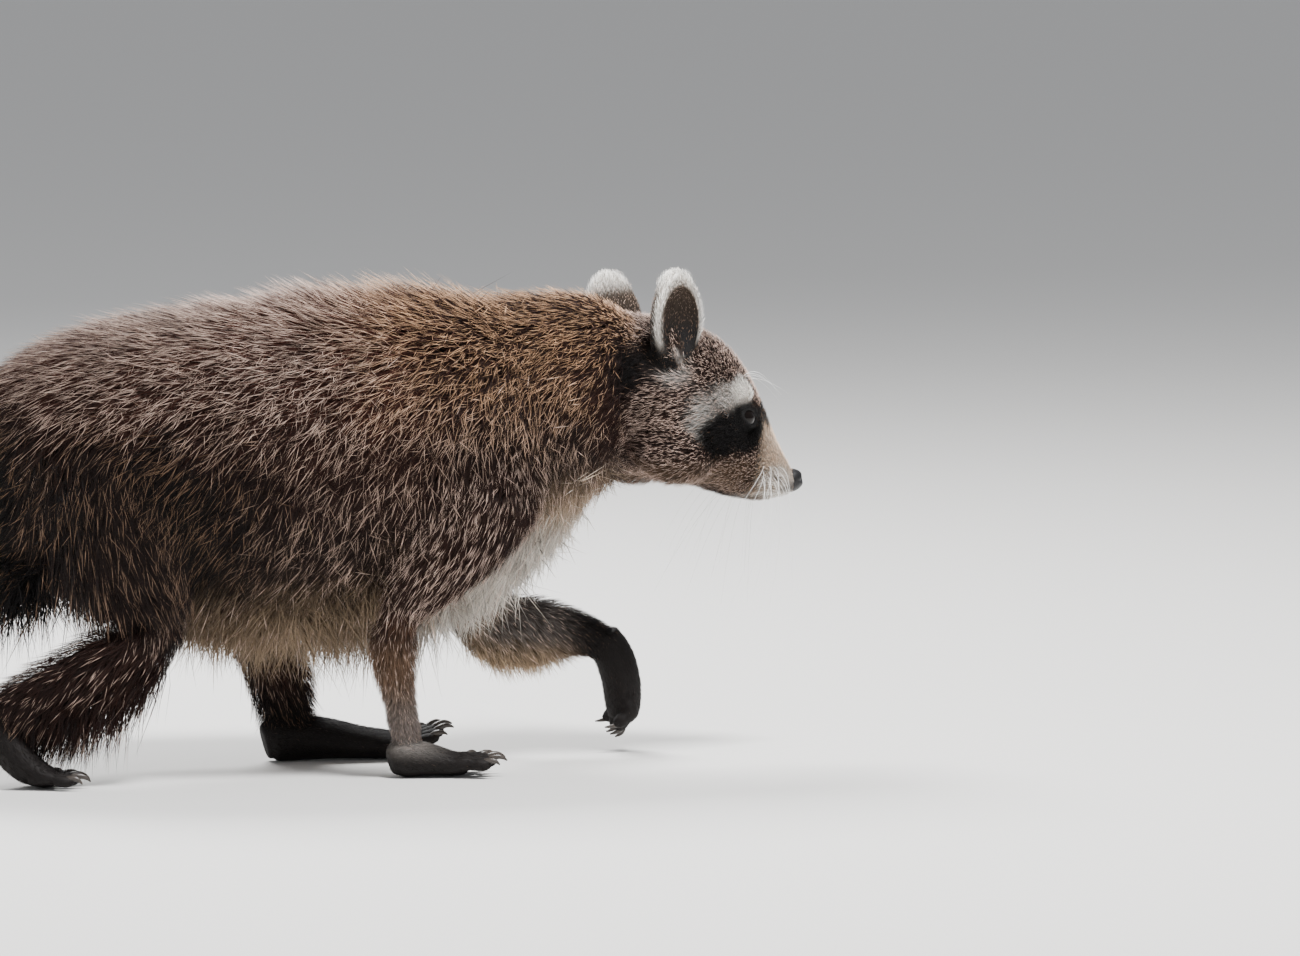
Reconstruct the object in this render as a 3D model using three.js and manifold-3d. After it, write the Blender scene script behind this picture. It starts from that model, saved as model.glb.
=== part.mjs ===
// A life-size raccoon, Procyon lotor, in mid stride. The right forefoot and the left hind foot are flat on
// the ground, the right hind foot pushes off from its toes, and the left hand hangs from a lifted forearm.
// Sizes are in millimetres. +X is forward, +Y the animal's left, +Z up, and the ground is z = 0.
import * as THREE from "three";
import { LoftGeometry } from "three/addons/geometries/LoftGeometry.js";
import { mergeVertices } from "three/addons/utils/BufferGeometryUtils.js";
import Module from "manifold-3d";

const wasm = await Module();
wasm.setup();

const GAP = 0.3; // clear space between neighbouring sub-parts
const RIGHT = -1;
const LEFT = 1;
const UP = [0, 0, 1];
const FORWARD = [1, 0, 0];
const degrees = THREE.MathUtils.degToRad;

// ---- Solids ----------------------------------------------------------------------------------------------

// Makes a closed geometry a solid that can be joined and cut.
function solidOf(geometry) {
  const bare = new THREE.BufferGeometry().setAttribute("position", geometry.attributes.position);
  const merged = mergeVertices(bare.setIndex(geometry.index), 1e-4);
  return new wasm.Manifold(
    new wasm.Mesh({
      numProp: 3,
      vertProperties: merged.attributes.position.array,
      triVerts: new Uint32Array(merged.index.array),
    }),
  );
}

const join = (...solids) => wasm.Manifold.union(solids);

// Keeps the largest closed body of a solid.
function largest(solid) {
  return solid.decompose().reduce((a, b) => (a.volume() > b.volume() ? a : b));
}

// A cross-section: centre, half width, reach to the upper side, reach to the lower side, and depth of coat.
// The reaches go out to the tips of the coat.
const oval = (at, wide, over, under, coat = 3) => ({ at, wide, over, under, coat });

// A body form: ovals set across a smooth centre line, with their upper sides turned to the upper direction.
// Where ahead is given, they stand across that direction instead.
class Form {
  constructor(upper, ovals, place = new THREE.Matrix4(), ahead = null) {
    this.upper = new THREE.Vector3(...upper);
    this.place = place;
    this.ahead = ahead && new THREE.Vector3(...ahead);
    this.spans = ovals.length - 1;
    this.line = new THREE.CatmullRomCurve3(ovals.map((o) => new THREE.Vector3(...o.at)));
    const sizes = ovals.map((o) => new THREE.Vector3(o.wide, o.over, o.under));
    this.sizes = new THREE.CatmullRomCurve3(sizes, false, "catmullrom");
    this.coats = new THREE.CatmullRomCurve3(ovals.map((o) => new THREE.Vector3(o.coat, 0, 0)));
  }

  // A point at t along the form, from 0 to 1, and at an angle round it, from the side by the upper side.
  // Depth is 0 at the skin and 1 at the coat's tips, and grow is added in millimetres.
  point(t, angle, depth = 1, grow = 0) {
    const along = this.ahead ?? this.line.getTangent(t);
    const side = this.upper.clone().cross(along).normalize();
    const up = along.clone().cross(side);
    const size = this.sizes.getPoint(t);
    const change = grow - this.coats.getPoint(t).x * (1 - depth);
    const rise = Math.sin(angle) > 0 ? size.y : size.z;
    const beyond = t === 0 ? -grow : t === 1 ? grow : 0;
    return this.line
      .getPoint(t)
      .addScaledVector(along, beyond)
      .addScaledVector(side, Math.cos(angle) * (size.x + change))
      .addScaledVector(up, Math.sin(angle) * (rise + change))
      .applyMatrix4(this.place);
  }

  // The closed solid, with so many points round each ring and so many rings to a span.
  solid(around, between, depth = 1, grow = 0) {
    const rings = this.spans * between;
    const sections = [];
    for (let i = 0; i <= rings; i += 1) {
      const ring = [];
      for (let j = 0; j < around; j += 1) {
        ring.push(this.point(i / rings, (j / around) * 2 * Math.PI, depth, grow));
      }
      sections.push(ring);
    }
    return solidOf(new LoftGeometry(sections, { capStart: true, capEnd: true }));
  }
}

// An ellipsoid, turned about Z by a yaw in degrees if one is given, and then placed.
function ellipsoid([x, y, z], [rx, ry, rz], place = new THREE.Matrix4(), yaw = 0, around = 12) {
  const ball = new THREE.SphereGeometry(1, around, around / 2)
    .rotateX(Math.PI / 2)
    .scale(rx, ry, rz)
    .rotateZ(degrees(yaw))
    .translate(x, y, z)
    .applyMatrix4(place);
  return solidOf(ball);
}

// A round-sectioned bead along a line of points.
function bead(points, radius, steps) {
  const circle = new THREE.Shape().absarc(0, 0, radius, 0, 2 * Math.PI);
  const path = new THREE.CatmullRomCurve3(points);
  const options = { extrudePath: path, steps, curveSegments: 3, bevelEnabled: false };
  return solidOf(new THREE.ExtrudeGeometry(circle, options));
}

// ---- Coat ------------------------------------------------------------------------------------------------

const CORE = 0.5; // how deep in the coat the core under the locks ends: 0 is the skin, 1 the coat's tips
const ROOT = 0.15; // how deep the locks are rooted
const RISE = 0.6; // the smaller, the sooner a lock rises to its tip's depth
const BLADE_WIDTH = [0.45, 1, 0.8, 0]; // at even steps from the root to the tip
const BLADE_THICKNESS = [1, 0.95, 0.6, 0];

// A lock: a flat, tapered blade that roots in a form at one place and follows the coat's lie to another. A
// place is a share of the form's length, an angle round it and a depth in the coat.
function lock(form, root, tip, wide, thick, grow) {
  const blade = new THREE.ConeGeometry(1, 1, 4, BLADE_WIDTH.length - 1);
  const length = form.line.getLength() * Math.abs(tip.along - root.along);
  const path = (share) => {
    const along = THREE.MathUtils.lerp(root.along, tip.along, share);
    const angle = THREE.MathUtils.lerp(root.angle, tip.angle, share);
    const t = form.line.getUtoTmapping(along);
    const depth = THREE.MathUtils.lerp(root.depth, tip.depth, Math.max(share, 0) ** RISE);
    return [form.point(t, angle, depth), form.point(t, angle, depth, 1)];
  };
  const corners = blade.attributes.position;
  for (let i = 0; i < corners.count; i += 1) {
    const step = Math.round((corners.getY(i) + 0.5) * (BLADE_WIDTH.length - 1));
    const share = step / (BLADE_WIDTH.length - 1);
    const end = share + (share === 1 ? grow / length : 0);
    const [centre, above] = path(end);
    const lie = path(end + 0.02)[0].sub(path(end - 0.02)[0]).normalize();
    const across = lie.clone().cross(above.sub(centre)).normalize();
    const out = across.clone().cross(lie);
    const turn = Math.atan2(corners.getX(i), corners.getZ(i));
    const halfWidth = share < 1 ? (wide / 2) * BLADE_WIDTH[step] + grow : 0;
    const halfThickness = share < 1 ? (thick / 2) * BLADE_THICKNESS[step] + grow : 0;
    centre.addScaledVector(across, Math.sin(turn) * halfWidth);
    centre.addScaledVector(out, Math.cos(turn) * halfThickness);
    corners.setXYZ(i, ...centre.toArray());
  }
  return solidOf(blade);
}

// Rows of locks over part of a form: from and to are shares of its length, and arc the first and last angle
// in degrees. A negative length lies towards the form's start. Droop turns the locks down on the form's
// sides, and depth is their tips'. A lock that would cross another node is made shorter, or left out.
function coat(form, plan, grow, seed) {
  const { rows, each, from, to, arc, length, wide, thick = 6, droop = 16, depth = 1 } = plan;
  let state = seed;
  const random = () => {
    state = (state * 16807) % 2147483647;
    return state / 2147483647 - 0.5;
  };
  const reach = length / form.line.getLength();
  const locks = [];
  for (let row = 0; row < rows; row += 1) {
    for (let i = 0; i < each; i += 1) {
      const along = THREE.MathUtils.lerp(from, to, rows > 1 ? row / (rows - 1) : 0) + 0.02 * random();
      const stagger = (row % 2) / 2 + 0.25;
      const angle = THREE.MathUtils.lerp(...arc, (i + stagger + 0.2 * random()) / each);
      const root = { along, angle: degrees(angle), depth: ROOT };
      const fall = droop * Math.cos(degrees(angle)) + 8 * random();
      const size = 1 + 0.24 * random();
      const widen = 1 + 0.16 * random();
      for (const shorter of [1, 0.75, 0.5]) {
        const tip = {
          along: THREE.MathUtils.clamp(along + reach * size * shorter, 0.02, 0.98),
          angle: degrees(angle - fall * shorter),
          depth,
        };
        const width = wide * widen * shorter;
        if (lock(form, root, tip, width, thick, 0).intersect(taken).volume() < 1) {
          locks.push(lock(form, root, tip, width, thick, grow));
          break;
        }
      }
    }
  }
  return join(...locks);
}

// The ground, as a slab under z = 0 that trims the soles flat.
const ground = solidOf(new THREE.BoxGeometry(1000, 400, 60).translate(0, 0, -30));

let taken = ground; // what the nodes so far fill, with the gap round them, and the ground

// ---- Torso, neck and tail --------------------------------------------------------------------------------

const torsoForm = new Form(UP, [
  oval([-143, 0, 175], 20, 20, 22, 12),
  oval([-132, 0, 174], 44, 38, 44, 16),
  oval([-108, 0, 174], 64, 60, 60, 20),
  oval([-62, 0, 178], 85, 88, 78, 22),
  oval([0, 0, 181], 94, 101, 99, 24),
  oval([70, 0, 182], 94, 106, 105, 26),
  oval([135, 0, 186], 88, 103, 106, 25),
  oval([185, 0, 190], 78, 99, 92, 24),
  oval([218, 1, 198], 62, 88, 70, 20),
  oval([238, 2, 206], 44, 68, 50, 16),
  oval([248, 2, 210], 24, 40, 30, 12),
]);

const neckForm = new Form(UP, [
  oval([205, 2, 212], 58, 70, 60, 18),
  oval([236, 4, 217], 57, 69, 61, 17),
  oval([262, 6, 219], 54, 64, 59, 15),
  oval([280, 7, 219], 46, 53, 51, 12),
]);

const tailForm = new Form(UP, [
  oval([-112, 0, 196], 20, 20, 20, 8),
  oval([-140, 0, 186], 27, 27, 27, 13),
  oval([-185, 1, 160], 33, 33, 33, 18),
  oval([-240, 3, 128], 35, 35, 35, 20),
  oval([-300, 7, 104], 34, 34, 34, 19),
  oval([-345, 11, 95], 28, 28, 28, 16),
  oval([-374, 13, 93], 17, 17, 17, 11),
  oval([-388, 14, 93], 4, 4, 4, 2),
]);

// ---- Head ------------------------------------------------------------------------------------------------

// The head has its own frame: X out along the muzzle and the origin between the ears, at the eyes' level.
const HEAD_AT = [289.5, 8, 200];
const HEAD_YAW = 12; // turned to the left
const HEAD_ROLL = 4; // left side lower
const headPlace = new THREE.Matrix4()
  .makeTranslation(...HEAD_AT)
  .multiply(new THREE.Matrix4().makeRotationZ(degrees(HEAD_YAW)))
  .multiply(new THREE.Matrix4().makeRotationX(degrees(-HEAD_ROLL)));

const headForm = new Form(
  UP,
  [
    oval([-44, 0, 22], 24, 28, 30, 8),
    oval([-34, 0, 19], 40, 43, 45, 8),
    oval([-12, 0, 14], 51, 55, 47, 9),
    oval([10, 0, 8], 54, 58, 45, 8),
    oval([30, 0, 2], 49, 58, 43, 7),
    oval([46, 0, -6], 38, 56, 40, 5),
    oval([56, 0, -12], 31, 51, 36, 4),
    oval([64, 0, -18], 26, 44, 31, 4),
    oval([71, 0, -24], 21.5, 37, 24, 3),
    oval([77, 0, -29], 18, 26, 18, 2),
    oval([85, 0, -34], 15, 15, 13, 2),
    oval([91, 0, -37], 12, 9.5, 9, 2),
    oval([95.5, 0, -38.5], 8, 5.5, 5.5, 1),
  ],
  headPlace,
  FORWARD,
);

const EYE_AT = [48.5, 25.5, 1.5];
const EYE_RADIUS = 8.3;
const EYE_YAW = 54; // from straight ahead to the side
const LID = 1.6; // thickness of the lids over the eyeball
const NOSE_AT = [92.5, 0, -37];
const NOSE_SIZE = [8, 8.5, 7.5];

const eye = (side, radius) => {
  const [x, y, z] = EYE_AT;
  return ellipsoid([x, side * y, z], [radius, radius, radius], headPlace, 0, 10);
};

// The almond slit between the lids, cut from the side that the eye looks to.
function lidSlit(side) {
  const [x, y, z] = EYE_AT;
  const yaw = side * EYE_YAW;
  const out = EYE_RADIUS + LID;
  const at = [x + out * Math.cos(degrees(yaw)), side * y + out * Math.sin(degrees(side * yaw)) * side, z];
  return ellipsoid(at, [8, 7.4, 5], headPlace, yaw, 10);
}

const LIP_RADIUS = 1.9;
const MOUTH_RADIUS = 1.2; // of the groove between the lips

// The lips and the groove between them run from one corner of the mouth round the muzzle to the other. Depth
// is outwards from the muzzle and drop is down.
function mouthLine(depth, drop) {
  const corner = 0.58; // of the head's length
  const front = 0.965;
  const steps = 6;
  const points = [];
  for (let i = -steps; i <= steps; i += 1) {
    const share = 1 - Math.abs(i) / steps;
    const t = THREE.MathUtils.lerp(corner, front, Math.sin((share * Math.PI) / 2));
    const below = degrees(THREE.MathUtils.lerp(24, 62, share ** 3)); // under the muzzle's side
    const angle = i < 0 ? Math.PI + below : 2 * Math.PI - below;
    const point = headForm.point(t, angle, 1, depth);
    point.z -= drop;
    points.push(point);
  }
  return points;
}

// Each nostril is a round hole that runs out into a slit at the side.
function nostril(side) {
  const [x, y, z] = NOSE_AT;
  const hole = ellipsoid([x + 6.2, side * 4.2, z + 0.4], [3.4, 2, 2.2], headPlace, side * 30, 6);
  const slit = ellipsoid([x + 4, side * 8, z - 0.8], [4, 2.2, 1.1], headPlace, side * 60, 6);
  return join(hole, slit);
}

function makeNose(grow) {
  const pad = ellipsoid(NOSE_AT, NOSE_SIZE.map((r) => r + grow), headPlace);
  return grow ? pad : pad.subtract(join(nostril(LEFT), nostril(RIGHT)));
}

function makeHead(grow) {
  const both = (at, radii, yaw) =>
    [LEFT, RIGHT].map((side) => {
      const grownRadii = radii.map((r) => r + grow);
      return ellipsoid([at[0], side * at[1], at[2]], grownRadii, headPlace, side * yaw, 8);
    });
  const flesh = join(
    headForm.solid(18, 2, 1, grow),
    ...both([4, 33, -10], [27, 18, 23], -12), // cheeks
    ...both([83, 7.5, -39], [13, 9.5, 9], -12), // whisker pads
    ellipsoid([75, 0, -43.5], [15 + grow, 9.5 + grow, 6 + grow], headPlace, 0, 10), // chin
    eye(LEFT, EYE_RADIUS + LID + grow),
    eye(RIGHT, EYE_RADIUS + LID + grow),
  );
  if (grow) return flesh;
  const upperLip = bead(mouthLine(-0.6, -1.8), LIP_RADIUS, 9);
  const lowerLip = bead(mouthLine(-1.2, 2.2), LIP_RADIUS, 9);
  const mouth = bead(mouthLine(0.4, 0.3), MOUTH_RADIUS, 9);
  return join(flesh, upperLip, lowerLip).subtract(join(mouth, lidSlit(LEFT), lidSlit(RIGHT)));
}

// The ear's frame: X forward along its width, Y out of its cup, Z up to its tip.
const EAR = { height: 31, width: 19, thick: 11, at: [0, 40.5, 56], tilt: 11, turn: 12, lean: -4 };
const earPlace = (side) =>
  headPlace
    .clone()
    .multiply(new THREE.Matrix4().makeTranslation(EAR.at[0], side * EAR.at[1], EAR.at[2]))
    .multiply(new THREE.Matrix4().makeRotationY(degrees(EAR.lean)))
    .multiply(new THREE.Matrix4().makeRotationX(degrees(side * -EAR.tilt)))
    .multiply(new THREE.Matrix4().makeRotationZ(degrees(side * -EAR.turn)));

function makeEar(side, grow) {
  const place = earPlace(side);
  const radii = [EAR.width, EAR.thick, EAR.height].map((r) => r + grow);
  const pinna = ellipsoid([0, 0, 3], radii, place, 0, 12);
  const base = ellipsoid([0, side * -3, -18], [16, 11, 16], place);
  const cup = ellipsoid([-1, side * 10.5, 3], [14.5, 13.5, 23], place, 0, 10);
  const notch = ellipsoid([-2, side * 12, -16], [6, 11, 12], place);
  return join(pinna, base).subtract(join(cup, notch));
}

// ---- Legs ------------------------------------------------------------------------------------------------

const upperArmForms = {
  right: new Form(FORWARD, [
    oval([190, -46, 196], 24, 32, 32, 14),
    oval([180, -57, 170], 30, 42, 44, 15),
    oval([158, -64, 142], 28, 37, 40, 15),
    oval([134, -65, 116], 22, 28, 30, 13),
    oval([122, -64, 98], 19, 22, 23, 10),
    oval([119, -63, 88], 13, 14, 15, 8),
  ]),
  left: new Form(FORWARD, [
    oval([206, 42, 194], 24, 30, 32, 14),
    oval([208, 52, 166], 28, 34, 40, 14),
    oval([203, 55, 136], 26, 30, 34, 14),
    oval([196, 54, 108], 22, 25, 28, 12),
    oval([190, 52, 88], 18, 20, 22, 9),
    oval([187, 51, 78], 12, 13, 15, 7),
  ]),
};

const forearmForms = {
  right: new Form(FORWARD, [
    oval([122, -63, 104], 14, 16, 17, 6),
    oval([120, -61, 90], 17, 20, 21, 8),
    oval([120.5, -58, 68], 14.5, 15.5, 17, 6),
    oval([124.5, -55, 45], 11, 11, 11.5, 3),
    oval([127.5, -53, 30], 11, 11, 11.5, 2),
    oval([131.5, -52, 18], 11, 11, 11, 2),
  ]),
  left: new Form(UP, [
    oval([184, 51, 89], 15, 19, 20, 9),
    oval([205, 51, 86], 17, 22, 29, 12),
    oval([228, 51, 81], 15.5, 19, 26, 11),
    oval([250, 50, 74.5], 13.5, 15.5, 17, 5),
    oval([268, 50, 67], 13, 13, 13, 2),
    oval([277, 50, 60], 11, 11, 11, 2),
  ]),
};

const thighForms = {
  right: new Form(FORWARD, [
    oval([-50, -40, 206], 30, 46, 48, 18),
    oval([-46, -54, 176], 37, 57, 60, 20),
    oval([-34, -61, 144], 34, 51, 55, 20),
    oval([-20, -62, 117], 27, 37, 40, 17),
    oval([-12, -60, 100], 22, 26, 27, 13),
    oval([-9, -60, 89], 14, 15, 16, 9),
  ]),
  left: new Form(FORWARD, [
    oval([-36, 40, 206], 30, 46, 48, 18),
    oval([-20, 54, 178], 36, 58, 62, 20),
    oval([10, 61, 151], 33, 50, 55, 20),
    oval([37, 61, 127], 27, 35, 40, 17),
    oval([50, 59, 112], 22, 26, 29, 13),
    oval([56, 58, 101], 15, 17, 18, 9),
  ]),
};

const shankForms = {
  right: new Form(FORWARD, [
    oval([-4, -60, 102], 18, 18, 20, 9),
    oval([-26, -59, 87], 24, 29, 29, 14),
    oval([-58, -57, 69], 22, 29, 29, 14),
    oval([-88, -55, 55], 18, 23, 23, 10),
    oval([-112, -54, 45], 14, 15, 16, 4),
    oval([-126, -53, 39], 11, 11, 12, 2),
  ]),
  left: new Form(FORWARD, [
    oval([50, 58, 120], 16, 18, 19, 9),
    oval([56, 56, 98], 23, 27, 29, 13),
    oval([67, 53, 70], 22, 28, 29, 14),
    oval([75, 49, 46], 18, 25, 25, 10),
    oval([79, 47, 29], 14, 19, 20, 5),
    oval([82, 46, 17], 12, 14, 14, 2),
  ]),
};

// ---- Feet ------------------------------------------------------------------------------------------------

const palmForms = {
  fore_right: new Form(UP, [
    oval([119, -51, 9], 9, 7, 9, 2),
    oval([126, -51, 11], 13, 13, 12, 2),
    oval([142, -51, 9.5], 15.5, 11, 10, 2),
    oval([156, -51, 7.5], 17.5, 8, 8, 2),
    oval([164, -51, 6.5], 15, 6, 7, 2),
  ]),
  fore_left: new Form(FORWARD, [
    oval([272, 50, 71], 11, 10, 10, 2),
    oval([279, 50, 57], 13.5, 12.5, 12.5, 2),
    oval([283.5, 50, 42], 15.5, 12, 12.5, 2),
    oval([284.5, 50, 28], 15.5, 11, 11.5, 2),
    oval([284, 50, 20], 13, 9, 9.5, 2),
  ]),
  hind_right: new Form(UP, [
    oval([-133, -53, 52], 9, 9, 10, 2),
    oval([-125, -53, 44], 13, 13.5, 13, 2),
    oval([-111, -52, 28], 14, 12, 12, 2),
    oval([-98, -52, 14], 17, 10, 11, 2),
    oval([-88, -52, 8], 18.5, 8, 9, 2),
    oval([-81, -52, 6.5], 15, 6, 7, 2),
  ]),
  hind_left: new Form(UP, [
    oval([64, 46, 12], 8, 8, 12, 2),
    oval([72, 46, 14], 13, 15, 15, 2),
    oval([98, 46, 12.5], 15, 14.5, 13, 2),
    oval([124, 46, 9.5], 17, 11, 10, 2),
    oval([149, 46, 8], 19, 8.5, 8.5, 2),
    oval([158, 46, 10], 16, 7, 7, 2),
  ]),
};

// Five digits fan out from the end of the palm, each with a curved claw.
const FAN = [-26, -12, 0, 12, 27]; // degrees from the middle digit
const SHARE = [0.8, 0.96, 1, 0.95, 0.76]; // length against the middle digit
const CURL = [8, 5, 2, 4, 7]; // how far a hanging hand's fingertips bend back
const TOES = { length: 25, thick: 4.5, spread: 6.6, fan: 1, curl: 0, lift: 0 };
const HANGING = { ...TOES, length: 15, thick: 5.2, fan: 0.5, curl: 1 };
const RAISED = { ...TOES, lift: 24 }; // lift is in degrees
const SPREAD = { ...TOES, thick: 4.8, lift: 9 };
const DOWN = [0, 0, -1];

// Knuckle is the middle digit's root.
const footPlans = {
  fore_right: { knuckle: [156, -51, 7], ahead: FORWARD, dorsal: UP, toes: SPREAD },
  fore_left: { knuckle: [285, 50, 27], ahead: DOWN, dorsal: FORWARD, toes: HANGING },
  hind_right: { knuckle: [-92, -52, 6.4], ahead: FORWARD, dorsal: UP, toes: TOES },
  hind_left: { knuckle: [148, 46, 8.5], ahead: FORWARD, dorsal: UP, toes: RAISED },
};

function digit(plan, i) {
  const { length, thick: r, spread, fan, curl, lift } = plan.toes;
  const across = new THREE.Vector3(...plan.dorsal).cross(new THREE.Vector3(...plan.ahead)).normalize();
  const dorsal = new THREE.Vector3(...plan.dorsal).applyAxisAngle(across, degrees(-lift));
  const ahead = across.clone().cross(dorsal).applyAxisAngle(dorsal, degrees(fan * FAN[i]));
  const root = new THREE.Vector3(...plan.knuckle).addScaledVector(across, (i - 2) * spread);
  const at = (share, rise) => {
    const bend = curl * CURL[i] * share ** 2;
    return root
      .clone()
      .addScaledVector(ahead, length * SHARE[i] * share - bend / 3)
      .addScaledVector(dorsal, rise - bend)
      .toArray();
  };
  const toe = new Form(dorsal.toArray(), [
    oval(at(-0.3, 0), r * 0.8, r * 0.8, r),
    oval(at(0.25, 0.5), r, r, r + 0.8),
    oval(at(0.8, -0.8), r, r * 0.85, r),
    oval(at(1.02, -1.4), r * 0.5, r * 0.5, r * 0.5),
  ]);
  const claw = new Form(dorsal.toArray(), [
    oval(at(0.84, 0.6), 1.7, 2.2, 2.2),
    oval(at(1.16, 0.4), 1.3, 1.6, 1.6),
    oval(at(1.37, -3.6), 0.3, 0.3, 0.3),
  ]);
  return join(toe.solid(5, 1), claw.solid(4, 1));
}

function makeFoot(foot, grow) {
  const palm = palmForms[foot].solid(9, 1, 1, grow);
  const digits = FAN.map((_, i) => digit(footPlans[foot], i));
  return join(palm, ...digits);
}

// ---- The whole animal ------------------------------------------------------------------------------------

const materials = {
  fur: new THREE.MeshStandardMaterial({ color: 0x6e5a48, roughness: 0.95 }),
  paleFur: new THREE.MeshStandardMaterial({ color: 0xa8957c, roughness: 0.95 }),
  darkFur: new THREE.MeshStandardMaterial({ color: 0x2b2320, roughness: 0.9 }),
  leather: new THREE.MeshStandardMaterial({ color: 0x121112, roughness: 0.45 }),
  eye: new THREE.MeshStandardMaterial({ color: 0x0d0806, roughness: 0.08 }),
};

const TORSO_DETAIL = [18, 2];
const NECK_DETAIL = [16, 1];
const LIMB_DETAIL = [12, 1];

const raccoon = new THREE.Group();

// Adds a node that gives way to the ground and to the nodes before it. Make builds its solid, grown by so
// many millimetres.
function add(name, material, make) {
  const mesh = largest(make(0).subtract(taken)).getMesh();
  taken = join(taken, make(GAP), make(0));
  const geometry = new THREE.BufferGeometry()
    .setAttribute("position", new THREE.BufferAttribute(mesh.vertProperties, 3))
    .setIndex(new THREE.BufferAttribute(mesh.triVerts, 1));
  const node = new THREE.Mesh(geometry, material);
  node.name = name;
  raccoon.add(node);
}

const sides = { left: LEFT, right: RIGHT };
const sideNames = Object.keys(sides);

add("nose", materials.leather, makeNose);
for (const side of sideNames) {
  add(`eye_${side}`, materials.eye, (grow) => eye(sides[side], EYE_RADIUS + grow));
}

// The ruffs stand out from the cheeks and over the sides of the neck.
const ruffCoat = {
  rows: 2, each: 3, from: 0.36, to: 0.56, length: -44, wide: 19, thick: 5, droop: 14, depth: 1.9,
};
const ruff = (arc, grow) => coat(headForm, { ...ruffCoat, arc }, grow, 5);
add("head", materials.fur, (grow) => join(makeHead(grow), ruff([-36, 2], grow), ruff([178, 216], grow)));

for (const side of sideNames) add(`ear_${side}`, materials.paleFur, (grow) => makeEar(sides[side], grow));

for (const side of sideNames) {
  add(`forepaw_${side}`, materials.darkFur, (grow) => makeFoot(`fore_${side}`, grow));
  add(`hind_foot_${side}`, materials.darkFur, (grow) => makeFoot(`hind_${side}`, grow));
}

// A form with its coat of locks.
const shaggy = (form, detail, plan, seed) => (grow) =>
  join(form.solid(...detail, CORE, grow), coat(form, plan, grow, seed));

const outer = { left: [-80, 80], right: [100, 260] };
for (const side of sideNames) {
  const arc = outer[side];
  const armCoat = { rows: 2, each: 3, from: 0.14, to: 0.5, arc, length: 56, wide: 27 };
  const thighCoat = { rows: 2, each: 4, from: 0.16, to: 0.52, arc, length: 74, wide: 27 };
  add(`upper_arm_${side}`, materials.fur, shaggy(upperArmForms[side], LIMB_DETAIL, armCoat, 11));
  add(`thigh_${side}`, materials.fur, shaggy(thighForms[side], LIMB_DETAIL, thighCoat, 12));
  add(`forearm_${side}`, materials.paleFur, (grow) => forearmForms[side].solid(...LIMB_DETAIL, 1, grow));
  add(`shank_${side}`, materials.darkFur, (grow) => shankForms[side].solid(...LIMB_DETAIL, 1, grow));
}

const torsoCoat = { rows: 6, each: 9, from: 0.17, to: 0.95, arc: [-90, 270], length: -96, wide: 54 };
const neckCoat = { rows: 2, each: 6, from: 0.62, to: 0.96, arc: [-90, 270], length: -44, wide: 46 };
const tailCoat = { rows: 5, each: 5, from: 0.04, to: 0.84, arc: [-90, 270], length: 66, wide: 28 };
add("torso", materials.fur, shaggy(torsoForm, TORSO_DETAIL, torsoCoat, 1));
add("neck", materials.fur, shaggy(neckForm, NECK_DETAIL, neckCoat, 2));
add("tail", materials.fur, shaggy(tailForm, LIMB_DETAIL, tailCoat, 3));

export default raccoon;
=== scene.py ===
import math

import bmesh
import bpy
import numpy as np
from mathutils import Matrix, Vector
from mathutils.bvhtree import BVHTree
from mathutils.kdtree import KDTree


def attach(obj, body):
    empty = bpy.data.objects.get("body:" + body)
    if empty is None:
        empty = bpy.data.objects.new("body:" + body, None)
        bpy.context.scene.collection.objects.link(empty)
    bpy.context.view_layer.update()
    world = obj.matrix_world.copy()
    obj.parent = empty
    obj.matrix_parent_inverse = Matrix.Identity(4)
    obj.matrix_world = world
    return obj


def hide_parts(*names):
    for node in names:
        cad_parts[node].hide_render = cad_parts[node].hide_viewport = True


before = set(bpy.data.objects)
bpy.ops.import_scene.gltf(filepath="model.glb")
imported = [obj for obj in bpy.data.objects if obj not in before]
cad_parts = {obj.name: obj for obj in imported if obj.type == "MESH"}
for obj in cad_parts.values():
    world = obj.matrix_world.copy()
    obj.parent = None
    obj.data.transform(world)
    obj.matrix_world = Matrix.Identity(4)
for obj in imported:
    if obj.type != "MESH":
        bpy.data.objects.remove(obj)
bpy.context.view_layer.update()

# ---- Body forms -------------------------------------------------------------------------------------------
# Under its coat a raccoon is a row of rounded lengths of flesh. Each is given by ovals of (x, y, z, half width,
# reach over, reach under, depth of coat) in millimetres, and the reaches go out to the tips of the coat.
MM = 0.001
UP = (0, 0, 1)
FORWARD = (1, 0, 0)


def unit(vectors):
    return vectors / np.maximum(np.linalg.norm(vectors, axis=-1, keepdims=True), 1e-9)


def spline(rows, share):
    """Points at shares of the length of a smooth curve through rows."""
    spans = len(rows) - 1
    place = np.clip(share, 0, 1) * spans
    first = np.minimum(place.astype(int), spans - 1)
    f = (place - first)[:, None]
    ends = np.vstack([2 * rows[0] - rows[1], rows, 2 * rows[-1] - rows[-2]])
    a, b, c, d = (ends[first + i] for i in range(4))
    bend = (2 * a - 5 * b + 4 * c - d) * f**2 + (3 * b - a - 3 * c + d) * f**3
    return b + 0.5 * ((c - a) * f + bend)


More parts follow.
